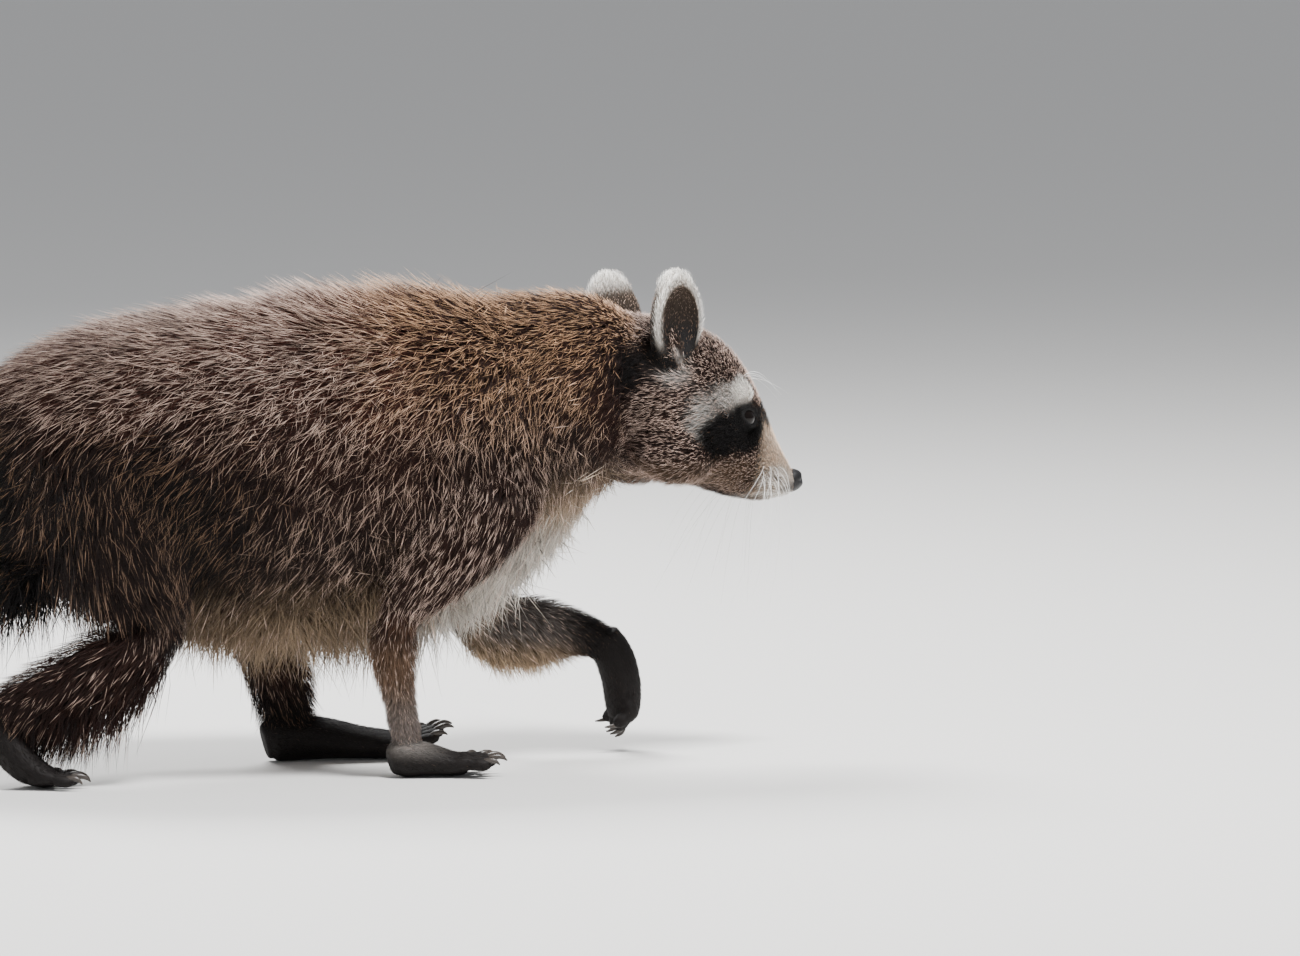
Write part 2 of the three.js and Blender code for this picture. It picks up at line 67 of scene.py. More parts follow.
def add_tube(bm, around, rings, shape, end=1.0):
    """Adds a closed tube in so many rings. Shape gives its points from shares of its length, angles and radii."""
    tube = bmesh.new()
    bmesh.ops.create_cone(tube, cap_ends=True, segments=around, radius1=1, radius2=end, depth=1)
    sides = [e for e in tube.edges if abs(e.verts[0].co.z - e.verts[1].co.z) > 0.5]
    bmesh.ops.subdivide_edges(tube, edges=sides, cuts=rings - 1, use_grid_fill=True)
    x, y, z = np.array([v.co for v in tube.verts]).T
    for vert, point in zip(tube.verts, shape(z + 0.5, np.arctan2(y, x), np.hypot(x, y))):
        vert.co = point
    mesh = bpy.data.meshes.new("tube")
    tube.to_mesh(mesh)
    tube.free()
    bm.from_mesh(mesh)
    bpy.data.meshes.remove(mesh)


class Form:
    """A rounded length of body. Lie is 1 where the coat points to its end and -1 to its start."""

    def __init__(self, upper, ovals, lie=1, droop=0.3, ahead=None, place=Matrix.Identity(4)):
        self.upper = np.array(upper, float)
        self.ovals = np.array(ovals, float)
        self.lie = lie
        self.droop = droop
        self.ahead = ahead
        self.place = np.array(place)

    def at(self, share, angle, depth=0.0):
        """Points at shares of the length and angles round it. Depth is 0 at the skin and 1 at the coat's tips."""
        share, angle = np.broadcast_arrays(np.atleast_1d(share).astype(float), angle)
        row = spline(self.ovals, share)
        step = spline(self.ovals, share + 0.01) - spline(self.ovals, share - 0.01)
        ahead = unit(step[:, :3] if self.ahead is None else np.broadcast_to(self.ahead, (len(row), 3)))
        side = unit(np.cross(self.upper, ahead))
        up = np.cross(ahead, side)
        less = row[:, 6] * (1 - depth)
        rise = np.where(np.sin(angle) > 0, row[:, 4], row[:, 5]) - less
        out = side * (np.cos(angle) * (row[:, 3] - less))[:, None] + up * (np.sin(angle) * rise)[:, None]
        point = row[:, :3] + out
        return (point @ self.place[:3, :3].T + self.place[:3, 3]) * MM

    def tube(self, bm, around=28, between=4, depth=0.0):
        """Adds the form to a bmesh as a closed tube."""
        rings = (len(self.ovals) - 1) * between
        add_tube(bm, around, rings, lambda share, angle, radius: self.at(share, angle, depth))

    def samples(self, rings, around):
        """Points of the skin with the lie of the coat there, its depth, and their share and angle."""
        share, angle = (g.ravel() for g in np.meshgrid(
            np.linspace(0, 1, rings), np.linspace(0, 2 * math.pi, around, endpoint=False)))
        point = self.at(share, angle)
        along = unit(self.at(share + 0.01, angle) - self.at(share - 0.01, angle))
        round_it = unit(self.at(share, angle + 0.05) - self.at(share, angle - 0.05))
        normal = unit(np.cross(round_it, along))
        down = np.array([0, 0, -1.0])
        lie = self.lie * along + self.droop * (down - (normal @ down)[:, None] * normal)
        coat = spline(self.ovals, share)[:, 6]
        return point, unit(lie), coat, share, angle


def round_rows(*rows):
    """Ovals as high over as under: (x, y, z, half width, coat)."""
    return [(x, y, z, r, r, r, coat) for x, y, z, r, coat in rows]


HEAD_YAW, HEAD_ROLL = math.radians(12), math.radians(-4)
head_place = (
    Matrix.Translation((289.5, 8, 200)) @ Matrix.Rotation(HEAD_YAW, 4, "Z") @ Matrix.Rotation(HEAD_ROLL, 4, "X")
)


def ear_place(side):
    return (
        head_place
        @ Matrix.Translation((0, side * 40.5, 56))
        @ Matrix.Rotation(math.radians(-4), 4, "Y")
        @ Matrix.Rotation(math.radians(side * -11), 4, "X")
        @ Matrix.Rotation(math.radians(side * -12), 4, "Z")
    )


def ear_form(side):
    rows = [(0, -2 * side, -26, 13, 8, 9, 2), (0, -1 * side, -14, 16.5, 10, 11, 2), (0, 0, 2, 19, 11, 11, 2),
            (0, 0, 14, 17.8, 10.5, 10.5, 2), (0, 0, 23, 14.5, 9, 9, 2), (0, 0, 29.5, 9.5, 6.5, 6.5, 2),
            (0, 0, 33, 4, 3, 3, 1)]
    return Form((0, side, 0), rows, place=ear_place(side), droop=0)


forms = {
    "torso": Form(UP, [
        (-143, 0, 175, 20, 20, 22, 12), (-132, 0, 174, 44, 38, 44, 16), (-108, 0, 174, 64, 60, 60, 20),
        (-62, 0, 178, 85, 88, 78, 22), (0, 0, 181, 94, 101, 99, 24), (70, 0, 182, 94, 106, 105, 26),
        (135, 0, 186, 88, 103, 106, 25), (185, 0, 190, 78, 99, 92, 24), (218, 1, 198, 62, 88, 70, 20),
        (238, 2, 206, 44, 68, 50, 16), (248, 2, 210, 24, 40, 30, 12)], lie=-1, droop=0.85),
    "neck": Form(UP, [
        (205, 2, 212, 58, 70, 60, 18), (236, 4, 217, 57, 69, 61, 17), (262, 6, 219, 54, 64, 59, 15),
        (280, 7, 219, 46, 53, 51, 12)], lie=-1, droop=0.8),
    "tail": Form(UP, round_rows(
        (-112, 0, 196, 20, 8), (-140, 0, 186, 27, 13), (-185, 1, 160, 33, 18), (-240, 3, 128, 35, 20),
        (-300, 7, 104, 34, 19), (-345, 11, 95, 28, 16), (-374, 13, 93, 17, 11), (-388, 14, 93, 4, 2)), droop=0.15),
    "head": Form(UP, [
        (-44, 0, 22, 24, 28, 30, 8), (-34, 0, 19, 40, 43, 45, 8), (-12, 0, 14, 51, 55, 47, 9),
        (10, 0, 8, 54, 58, 45, 8), (30, 0, 2, 49, 58, 43, 7), (46, 0, -6, 38, 56, 40, 5), (56, 0, -12, 31, 51, 36, 4),
        (64, 0, -18, 26, 44, 31, 4), (71, 0, -24, 21.5, 37, 24, 3), (77, 0, -29, 18, 26, 18, 2),
        (85, 0, -34, 15, 15, 13, 2), (91, 0, -37, 12, 9.5, 9, 2), (95.5, 0, -38.5, 8, 5.5, 5.5, 1)],
        lie=-1, droop=0.35, ahead=FORWARD, place=head_place),
    "ear_left": ear_form(1),
    "ear_right": ear_form(-1),
    "upper_arm_right": Form(FORWARD, [
        (190, -46, 196, 24, 32, 32, 14), (180, -57, 170, 30, 42, 44, 15), (158, -64, 142, 28, 37, 40, 15),
        (134, -65, 116, 22, 28, 30, 13), (122, -64, 98, 19, 22, 23, 10), (119, -63, 88, 13, 14, 15, 8)]),
    "upper_arm_left": Form(FORWARD, [
        (206, 42, 194, 24, 30, 32, 14), (208, 52, 166, 28, 34, 40, 14), (203, 55, 136, 26, 30, 34, 14),
        (196, 54, 108, 22, 25, 28, 12), (190, 52, 88, 18, 20, 22, 9), (187, 51, 78, 12, 13, 15, 7)]),
    "forearm_right": Form(FORWARD, [
        (122, -63, 104, 14, 16, 17, 6), (120, -61, 90, 17, 20, 21, 8), (120.5, -58, 68, 14.5, 15.5, 17, 6),
        (124.5, -55, 45, 11, 11, 11.5, 3), (127.5, -53, 30, 11, 11, 11.5, 2), (131.5, -52, 18, 11, 11, 11, 2)]),
    "forearm_left": Form(UP, [
        (184, 51, 89, 15, 19, 20, 6), (205, 51, 86, 17, 22, 29, 8), (228, 51, 81, 15.5, 19, 26, 7),
        (250, 50, 74.5, 13.5, 15.5, 17, 4), (268, 50, 67, 13, 13, 13, 2), (277, 50, 60, 11, 11, 11, 2)], droop=1.1),
    "thigh_right": Form(FORWARD, [
        (-50, -40, 206, 30, 46, 48, 18), (-46, -54, 176, 37, 57, 60, 20), (-34, -61, 144, 34, 51, 55, 20),
        (-20, -62, 117, 27, 37, 40, 17), (-12, -60, 100, 22, 26, 27, 13), (-9, -60, 89, 14, 15, 16, 9)]),
    "thigh_left": Form(FORWARD, [
        (-36, 40, 206, 30, 46, 48, 18), (-20, 54, 178, 36, 58, 62, 20), (10, 61, 151, 33, 50, 55, 20),
        (37, 61, 127, 27, 35, 40, 17), (50, 59, 112, 22, 26, 29, 13), (56, 58, 101, 15, 17, 18, 9)]),
    "shank_right": Form(FORWARD, [
        (-4, -60, 102, 18, 18, 20, 9), (-26, -59, 87, 24, 29, 29, 14), (-58, -57, 69, 22, 29, 29, 14),
        (-88, -55, 55, 18, 23, 23, 10), (-112, -54, 45, 14, 15, 16, 4), (-126, -53, 39, 11, 11, 12, 2)], droop=0.9),
    "shank_left": Form(FORWARD, [
        (50, 58, 120, 16, 18, 19, 9), (56, 56, 98, 23, 27, 29, 13), (67, 53, 70, 22, 28, 29, 14),
        (75, 49, 46, 18, 25, 25, 10), (79, 47, 29, 14, 19, 20, 5), (82, 46, 17, 12, 14, 14, 2)]),
}
HAIRY = list(forms)

# ---- Feet -------------------------------------------------------------------------------------------------
# Each foot is a narrow palm with five long, separate fingers or toes that fan out from its end, bare below and with
# very short fur above. The left hand hangs with its fingers drawn together and their tips bent back, and the toes of
# the left hind foot point up.
FAN = (-26, -12, 0, 12, 27)
REACH = (0.8, 0.96, 1, 0.95, 0.76)
CURL = (8, 5, 2, 4, 7)
TOE_SPREAD = 6.6
# the palm, the middle toe's root, the ways ahead and up from it, and its toes' length, half thickness, share of the
# fan, share of the curl and lift in degrees
palms = {
    "forepaw_right": (Form(UP, [
        (119, -51, 9, 9, 7, 9, 1), (126, -51, 11, 13, 13, 12, 1), (142, -51, 9.5, 15.5, 11, 10, 1),
        (156, -51, 7.5, 17.5, 8, 8, 1), (164, -51, 6.5, 15, 6, 7, 1)]),
        (156, -51, 7), FORWARD, UP, (25, 4.8, 1, 0, 9)),
    "forepaw_left": (Form(FORWARD, [
        (272, 50, 71, 11, 10, 10, 1), (279, 50, 57, 13.5, 12.5, 12.5, 1), (283.5, 50, 42, 15.5, 12, 12.5, 1),
        (284.5, 50, 28, 15.5, 11, 11.5, 1), (284, 50, 20, 13, 9, 9.5, 1)]),
        (285, 50, 27), (0, 0, -1), FORWARD, (15, 5.2, 0.5, 1, 0)),
    "hind_foot_right": (Form(UP, [
        (-133, -53, 52, 9, 9, 10, 1), (-125, -53, 44, 13, 13.5, 13, 1), (-111, -52, 28, 14, 12, 12, 1),
        (-98, -52, 14, 17, 10, 11, 1), (-88, -52, 8, 18.5, 8, 9, 1), (-81, -52, 6.5, 15, 6, 7, 1)]),
        (-92, -52, 6.4), FORWARD, UP, (25, 4.5, 1, 0, 0)),
    "hind_foot_left": (Form(UP, [
        (64, 46, 12, 8, 8, 12, 1), (72, 46, 14, 13, 15, 15, 1), (98, 46, 12.5, 15, 14.5, 13, 1),
        (124, 46, 9.5, 17, 11, 10, 1), (149, 46, 8, 19, 8.5, 8.5, 1), (158, 46, 10, 16, 7, 7, 1)]),
        (148, 46, 8.5), FORWARD, UP, (25, 4.5, 1, 0, 24)),
}
claw_forms = []
for foot, (palm, knuckle, ahead, dorsal, (length, r, fan, curl, lift)) in palms.items():
    forms[foot] = palm
    across = Vector(dorsal).cross(Vector(ahead))
    dorsal = Matrix.Rotation(math.radians(-lift), 3, across) @ Vector(dorsal)
    for i in range(5):
        forward = Matrix.Rotation(math.radians(fan * FAN[i]), 3, dorsal) @ across.cross(dorsal)
        root = Vector(knuckle) + across * ((i - 2) * TOE_SPREAD)

        def joint(share, rise, wide, over, under):
            bend = curl * CURL[i] * share**2
            at = root + forward * (length * REACH[i] * share - bend / 3) + dorsal * (rise - bend)
            return (*at, wide, over, under, 0.6)

        forms[f"{foot}_toe_{i + 1}"] = Form(dorsal, [
            joint(-0.3, 0, r * 0.8, r * 0.8, r), joint(0, 0.5, r * 0.95, r * 0.95, r),
            joint(0.28, 0.9, r, r * 1.05, r), joint(0.5, 0.1, r * 0.86, r * 0.86, r * 0.9),
            joint(0.78, -0.7, r * 1.02, r * 0.88, r), joint(0.98, -1.2, r * 0.7, r * 0.62, r * 0.75),
            joint(1.06, -1.6, r * 0.3, r * 0.3, r * 0.35)])
        claw_forms.append(Form(dorsal, [
            joint(0.82, 0.4, 1.7, 1.9, 1.9), joint(0.98, 1.0, 1.6, 1.9, 1.9), joint(1.12, 0.8, 1.2, 1.5, 1.5),
            joint(1.23, -0.5, 0.8, 1.0, 1.0), joint(1.3, -2.2, 0.3, 0.4, 0.4)]))

# ---- Skin -------------------------------------------------------------------------------------------------
# One skin covers the whole animal. The trunk and legs are welded from their forms and smoothed, and the head and
# the feet are welded finer, for the lids, the ear cups, the lips and the knuckles.
EYE_AT, EYE_RADIUS = np.array([48.5, 25, 1.5]), 8.3
EYE_YAW = math.radians(60)
NOSE_AT, NOSE_SIZE = (92.5, 0, -37), (8, 8.5, 7.5)
SIDES = (1, -1)


def smooth_step(low, high, values):
    share = np.clip((values - low) / (high - low), 0, 1)
    return share * share * (3 - 2 * share)


def made(bm, name):
    """A new smooth object from a bmesh, which is then freed."""
    mesh = bpy.data.meshes.new(name)
    bm.to_mesh(mesh)
    bm.free()
    mesh.polygons.foreach_set("use_smooth", [True] * len(mesh.polygons))
    piece = bpy.data.objects.new(name, mesh)
    bpy.context.collection.objects.link(piece)
    return piece


def welded(bm, name, voxel, smooth):
    """A new object: the solids in a bmesh welded to one surface on a grid and smoothed."""
    rough = made(bm, name)
    remesh = rough.modifiers.new("weld", "REMESH")
    remesh.mode, remesh.voxel_size = "VOXEL", voxel * MM
    relax = rough.modifiers.new("relax", "SMOOTH")
    relax.factor, relax.iterations = 0.5, smooth
    rough.data = bpy.data.meshes.new_from_object(rough.evaluated_get(bpy.context.evaluated_depsgraph_get()))
    rough.modifiers.clear()
    return rough


def places(mesh):
    co = np.empty(len(mesh.vertices) * 3, np.float32)
    mesh.vertices.foreach_get("co", co)
    return co.reshape(-1, 3).astype(float)


def normals(mesh):
    out = np.empty(len(mesh.vertices) * 3, np.float32)
    mesh.vertices.foreach_get("normal", out)
    return out.reshape(-1, 3).astype(float)


def set_places(mesh, points):
    mesh.vertices.foreach_set("co", points.astype(np.float32).ravel())
    mesh.update()


def ball(bm, at, radii, yaw=0.0, place=head_place):
    """Adds an ellipsoid in the head's frame, in millimetres."""
    turn = Matrix.Translation(at) @ Matrix.Rotation(yaw, 4, "Z") @ Matrix.Diagonal((*radii, 1))
    bmesh.ops.create_uvsphere(bm, u_segments=32, v_segments=20, radius=1, matrix=Matrix.Scale(MM, 4) @ place @ turn)


def to_head(points):
    """World points in metres to the head's frame in millimetres."""
    back = np.array(head_place.inverted())
    return (points / MM) @ back[:3, :3].T + back[:3, 3]


def from_head(points):
    there = np.array(head_place)
    return (points @ there[:3, :3].T + there[:3, 3]) * MM


body = bmesh.new()
for part in HAIRY:
    if part != "head" and not part.startswith("ear"):
        forms[part].tube(body)
skin = welded(body, "raccoon_skin", voxel=3.6, smooth=6)

head = bmesh.new()
forms["head"].tube(head, around=48)
for side in SIDES:
    forms["ear_left" if side == 1 else "ear_right"].tube(head, around=40)
    ball(head, (6, side * 28, -12), (26, 17, 21), side * -0.21)
    ball(head, (80.5, side * 7, -38.5), (12.5, 8, 7.5), side * -0.21)
    ball(head, (41, side * 18, 15), (16, 12, 9), side * 0.5)
    ball(head, (EYE_AT[0], side * EYE_AT[1], EYE_AT[2]), [EYE_RADIUS + 1.7] * 3)
ball(head, (74, 0, -42.5), (14, 8.5, 5))
CUP_AT, CUP_SIZE = np.array([-1, 10.5, 3]), np.array([14, 13, 24])
ears_cut = bmesh.new()
for side in SIDES:
    ball(ears_cut, CUP_AT * (1, side, 1), CUP_SIZE, place=ear_place(side))
    ball(ears_cut, (0, side * 12, -16), (6.5, 11.5, 12), place=ear_place(side))
head = welded(head, "head", voxel=1.15, smooth=3)
cups = welded(ears_cut, "cups", voxel=1.15, smooth=1)


def combine(target, other, operation):
    """Joins another object's solid to the target's, or cuts it away, and removes the other."""
    change = target.modifiers.new("combine", "BOOLEAN")
    change.object, change.operation, change.solver = other, operation, "MANIFOLD"
    evaluated = target.evaluated_get(bpy.context.evaluated_depsgraph_get())
    target.data = bpy.data.meshes.new_from_object(evaluated)
    target.modifiers.clear()
    bpy.data.objects.remove(other)


combine(head, cups, "DIFFERENCE")

# The lids open in an almond round each eyeball, and a groove with a full lip on each side runs round the muzzle.
LID_OPEN = (math.radians(38), math.radians(28))
points = to_head(places(head.data))
for side in SIDES:
    out = points - EYE_AT * (1, side, 1)
    distance = np.linalg.norm(out, axis=1)
    yaw = np.arctan2(side * out[:, 1], out[:, 0]) - EYE_YAW
    pitch = np.arcsin(np.clip(out[:, 2] / distance, -1, 1)) - 0.25 * yaw
    rim = np.hypot(yaw / LID_OPEN[0], pitch / LID_OPEN[1])
    near = (distance < EYE_RADIUS + 5) & (np.abs(yaw) < 1.5)
    opened = near * smooth_step(1.08, 0.9, rim)
    lid = near * np.exp(-(((rim - 1.22) / 0.14) ** 2)) * 0.7
    reach = distance + lid + opened * (EYE_RADIUS - 1.4 - distance)
    points = EYE_AT * (1, side, 1) + out * (reach / distance)[:, None]
# the snout draws in behind the nose pad
draw_in = 1 - 0.38 * smooth_step(88, 93, points[:, 0])
points[:, 1] *= draw_in
points[:, 2] = -37 + (points[:, 2] + 37) * draw_in
set_places(head.data, from_head(points))

LIP_CORNER, LIP_FRONT = 0.58, 0.965
share = np.linspace(0, 1, 60)
lip_share = LIP_CORNER + (LIP_FRONT - LIP_CORNER) * np.sin(share * math.pi / 2)
lip_angle = np.radians(24 + 38 * share**3)
lip_line = np.vstack([forms["head"].at(lip_share, a, 0.2) for a in (math.pi + lip_angle, -lip_angle)])
tree = KDTree(len(lip_line))
for i, point in enumerate(lip_line):
    tree.insert(point, i)
tree.balance()
co, out = places(head.data), normals(head.data)
front = np.flatnonzero(to_head(co)[:, 0] > 25)
away = np.array([tree.find(co[i])[2] for i in front]) / MM
move = 0.6 * np.exp(-(((away - 2.9) / 1.3) ** 2)) - 1.9 * np.exp(-((away / 1.1) ** 2))
co[front] += out[front] * (move * MM)[:, None]
set_places(head.data, co)

feet = bmesh.new()
for part, form in forms.items():
    if part not in HAIRY:
        form.tube(feet, around=20, between=3)
feet = welded(feet, "feet", voxel=1.3, smooth=2)
co = places(feet.data)
co[:, 2] = np.maximum(co[:, 2], 0)
set_places(feet.data, co)
combine(skin, head, "UNION")
combine(skin, feet, "UNION")
skin.data.materials.clear()
skin.data.polygons.foreach_set("use_smooth", [True] * len(skin.data.polygons))

# ---- Markings ---------------------------------------------------------------------------------------------
# Each place on the skin knows the lie and depth of its coat, and how much of each tone the hair has there: black,
# white, tan, buff, red and the pale tips that make the coat grizzled.
form_names = list(forms)
parts = []
for i, (part, form) in enumerate(forms.items()):
    rings, around = (12, 12) if "toe" in part else (60, 56)
    point, lie, coat, share, angle = form.samples(rings, around)
    parts.append((point, lie, coat, share, angle, np.full(len(share), i)))
near_point, near_lie, near_coat, near_share, near_angle, near_form = (np.concatenate(p) for p in zip(*parts))
tree = KDTree(len(near_point))
for i, point in enumerate(near_point):
    tree.insert(point, i)
tree.balance()

co = places(skin.data)
edges = np.empty(len(skin.data.edges) * 2, np.int32)
skin.data.edges.foreach_get("vertices", edges)
edges = edges.reshape(-1, 2)
links = np.bincount(edges.ravel(), minlength=len(co))


def relaxed(values, steps):
    """Values on the skin's vertices, each drawn to the mean of its neighbours so many times."""
    values = np.array(values, float).reshape(len(co), -1)
    for _ in range(steps):
        for column in range(values.shape[1]):
            line = values[:, column]
            total = np.bincount(edges[:, 0], line[edges[:, 1]], len(co))
            total += np.bincount(edges[:, 1], line[edges[:, 0]], len(co))
            values[:, column] = 0.5 * line + 0.5 * total / np.maximum(links, 1)
    return values


nearest = np.array([tree.find(p)[1] for p in co])
skin_form = near_form[nearest]


def is_part(*names):
    """Where the skin belongs to forms whose names start with one of these."""
    chosen = [i for i, part in enumerate(form_names) if part.startswith(names)]
    return np.isin(skin_form, chosen).astype(float)


# the shoulders, hips, nape, wrists and heels flow into each other, with no crease
blends = (
    ("upper_arm", 120, 75), ("thigh", 160, 75), ("neck", 60, 75), ("head", 40, 75), ("forepaw", 16, -40),
    ("hind_foot", 16, -40))
for limb, steps, above in blends:
    share = relaxed(is_part(limb), steps)
    seam = 4 * share * (1 - share) * smooth_step(above, above + 30, co[:, 2:] / MM)
    co += np.minimum(seam, 1) * (relaxed(co, steps) - co)
set_places(skin.data, co)
nearest = np.array([tree.find(p)[1] for p in co])

skin_lie = unit(relaxed(near_lie[nearest], 30))
skin_coat = relaxed(near_coat[nearest], 20)[:, 0]
skin_form, skin_share, skin_angle = near_form[nearest], near_share[nearest], near_angle[nearest]


def blob(points, centre, radii, soft=0.35):
    """1 inside an ellipsoid and 0 outside, with a soft edge."""
    reach = np.linalg.norm((points - np.array(centre)) / np.array(radii), axis=1)
    return smooth_step(1 + soft, 1 - soft, reach)


ragged = relaxed(np.random.default_rng(5).normal(0, 1, len(co)), 5)[:, 0]
ragged *= 6 / ragged.std()
x, y, z = (co / MM).T
face = to_head(co)
face[:, 1] = np.abs(face[:, 1])
hx, hy, hz = face.T
head_on, neck_on, torso_on, tail_on = (is_part(part) for part in ("head", "neck", "torso", "tail"))
arms_on, forearms_on = is_part("upper_arm"), is_part("forearm")
thighs_on, shanks_on = is_part("thigh"), is_part("shank")
feet_on, ear_on = is_part("forepaw", "hind_foot"), is_part("ear")
right = smooth_step(4, -4, y)
below = smooth_step(-0.05, -0.6, relaxed(normals(skin.data), 6)[:, 2])

# trunk: grey-brown rump with painted grey sheen on top, red-brown back, golden shoulders and nape, dark flanks with
# painted shade lower down, buff belly, cream chest
trunk = np.maximum(torso_on, neck_on)
golden = trunk * smooth_step(185, 250, z + ragged) * smooth_step(85, 175, x + ragged)
reddish = trunk * smooth_step(165, 215, z) * smooth_step(190, 110, x) * smooth_step(-130, -40, x)
# painted sheen: over the grey-brown coat on top of the rump, this mask paints a whitish grey sheen
grey = trunk * smooth_step(245, 272, z + ragged) * smooth_step(70, 10, x + ragged)
belly = smooth_step(148, 112, z + 1.5 * ragged) * smooth_step(-70, 20, x + ragged)
chest = smooth_step(-56, -16, 0.69 * (x - 155) - 0.725 * (z - 79) + ragged) * smooth_step(200, 172, z)
chest *= smooth_step(272, 250, x)
throat = neck_on * smooth_step(204, 176, z + ragged)
pale = trunk * np.maximum(0.66 * belly, chest)
tan = 0.45 * golden
red = 0.9 * reddish * (1 - grey) + 0.5 * throat + 0.3 * trunk
buff = pale * (0.95 - 0.3 * chest)
white = 0.65 * trunk * chest * smooth_step(178, 152, z) + 0.10 * grey
# painted shade: the hind flank is dark coat, made darker still by painted shade
hind_flank_dark_and_shaded = smooth_step(238, 190, z + ragged) * smooth_step(100, -10, x + ragged)
# the black share grows downwards: dark flank coat, deepened by painted shade under the light from above
black = (1 - pale) * trunk * (0.15 + 0.5 * smooth_step(255, 200, z + ragged) + 0.4 * hind_flank_dark_and_shaded - 0.1 * golden)
# pale tips thicken towards the top: a grizzled back, made paler still by painted light from above
high = smooth_step(190, 262, z)
tips = np.where(trunk > 0, 0.13 + 0.32 * high + 0.02 * golden + 0.10 * grey, 0.12)
tips *= 1 - 0.6 * trunk * belly
# upper legs: dark outside and buff inside
inner = smooth_step(52, 40, np.abs(y))
black += (arms_on * 0.4 + thighs_on * 0.85) * (1 - inner)
buff += inner * (arms_on * 0.7 + thighs_on * 0.5)
red += thighs_on * 0.6 + arms_on * 0.4
tips = np.where(arms_on > 0, 0.2, tips)
# lower legs: red-brown over buff on the right foreleg, grey-white at its wrist, dark brown behind
wrist = right * forearms_on
red += wrist * 0.9 + shanks_on * 0.6
buff += wrist * smooth_step(110, 84, z) * smooth_step(30, 56, z) * 0.2
white += wrist * smooth_step(66, 36, z) * 0.2
left_arm = forearms_on * (1 - right)
to_hand = left_arm * smooth_step(226, 262, x)
fringe = left_arm * below * smooth_step(262, 232, x)
black += left_arm * 0.4 * (1 - fringe) + to_hand * 0.55
red += left_arm * 0.5
# the upward side of the left forearm, away from the hand, is whitened a little: partly its pale coat, partly painted
# sheen
white += left_arm * (1 - below) * (1 - to_hand) * 0.12
buff += fringe * 0.85
hock = smooth_step(66, 34, z)
black += shanks_on * (0.5 + 0.5 * hock)
buff += shanks_on * (1 - right) * smooth_step(70, 100, z) * 0.3
# feet: black, with a grey-white top to the standing wrist
pale_foot = is_part("forepaw_right") * smooth_step(8, 22, z) * smooth_step(160, 128, x)
black += feet_on * 0.78 * (1 - 0.8 * pale_foot)
white += pale_foot * 0.2
# tail: a root like the rump, dark rings, and a dark tip
ring = 0.5 + 0.5 * np.cos((skin_share - 0.97) * 2 * math.pi * 6.5)
ring = np.maximum(smooth_step(0.42, 0.66, ring) * smooth_step(0.12, 0.22, skin_share), skin_share > 0.97)
tail_root = smooth_step(0.30, 0.08, skin_share)
black += tail_on * np.maximum(0.1 + ring * 0.9, 0.65 * tail_root)
buff += tail_on * (1 - ring) * 0.6 * (1 - tail_root)
# head: grizzled forehead and cheeks, white brow, black mask, tan muzzle, white lips, red-brown jaw
mask = np.maximum(blob(face, (50, 28, -4), (18, 24, 15), 0.15), blob(face, (32, 40, -8), (19, 18, 13), 0.2))
mask = np.maximum(mask * smooth_step(71, 66, hx), 0.85 * blob(face, (68, 4, -1), (11, 16, 10), 0.2))
arch = blob(face, (48, 24, 16), (12, 14, 7.5), 0.25) * smooth_step(7, 12, hy)
streak = np.maximum(blob(face, (34, 36, 14), (13, 14, 8), 0.4), blob(face, (17, 42, 3), (9, 14, 13), 0.5))
before_ear = blob(face, (2, 44, 31), (10, 14, 9), 0.5)
muzzle = smooth_step(58, 68, hx) * smooth_step(4, -8, hz)
lips = smooth_step(-42, -45.5, hz) * smooth_step(44, 64, hx)
pad = blob(face, (76, 12, -35), (11, 9, 6), 0.5)
lip_side = blob(face, (86, 9, -42), (9, 9, 5), 0.4)
lip_tree = KDTree(len(lip_line))
for i, point in enumerate(lip_line):
    lip_tree.insert(point, i)
lip_tree.balance()
mouth = head_on * smooth_step(1.9, 0.9, np.array([lip_tree.find(p)[2] for p in co]) / MM)
bridge = smooth_step(9, 4, hy) * smooth_step(30, 44, hx) * smooth_step(82, 74, hx)
behind_ear = blob(face, (-25, 44, 36), (14, 24, 21), 0.5) * np.maximum(head_on, neck_on)
collar = blob(face, (-36, 46, -2), (12, 22, 36), 0.6) * np.maximum(head_on, neck_on)
jaw = smooth_step(-18, -30, hz) * smooth_step(64, 50, hx)
black = np.maximum(black + head_on * (mask * 1.2 + bridge * 0.7 + 0.3 * (1 - muzzle) + lip_side * 0.5), behind_ear)
bright = np.clip(arch * 1.5 + streak * 0.55 + before_ear * 0.35 + lips * 1.1 + pad * 0.4 + muzzle * 0.32, 0, 1)
black = np.maximum(black, np.maximum(mouth, 0.75 * collar))
red += 0.6 * collar
white += head_on * (1 - mask) * (1 - 0.8 * bridge) * (1 - mouth) * bright
black *= 1 - head_on * (1 - mask) * arch
tan += head_on * muzzle * (1 - pad) * (1 - lip_side) * 0.9
buff += head_on * (muzzle * (1 - lip_side) * (1 - 0.7 * bridge) * 0.45 + jaw * 0.3)
red += head_on * (0.3 + jaw * 0.6)
tips = np.where(head_on > 0, 0.6 - 0.2 * muzzle - 0.1 * jaw + 0.1 * streak - 0.3 * bridge, tips)
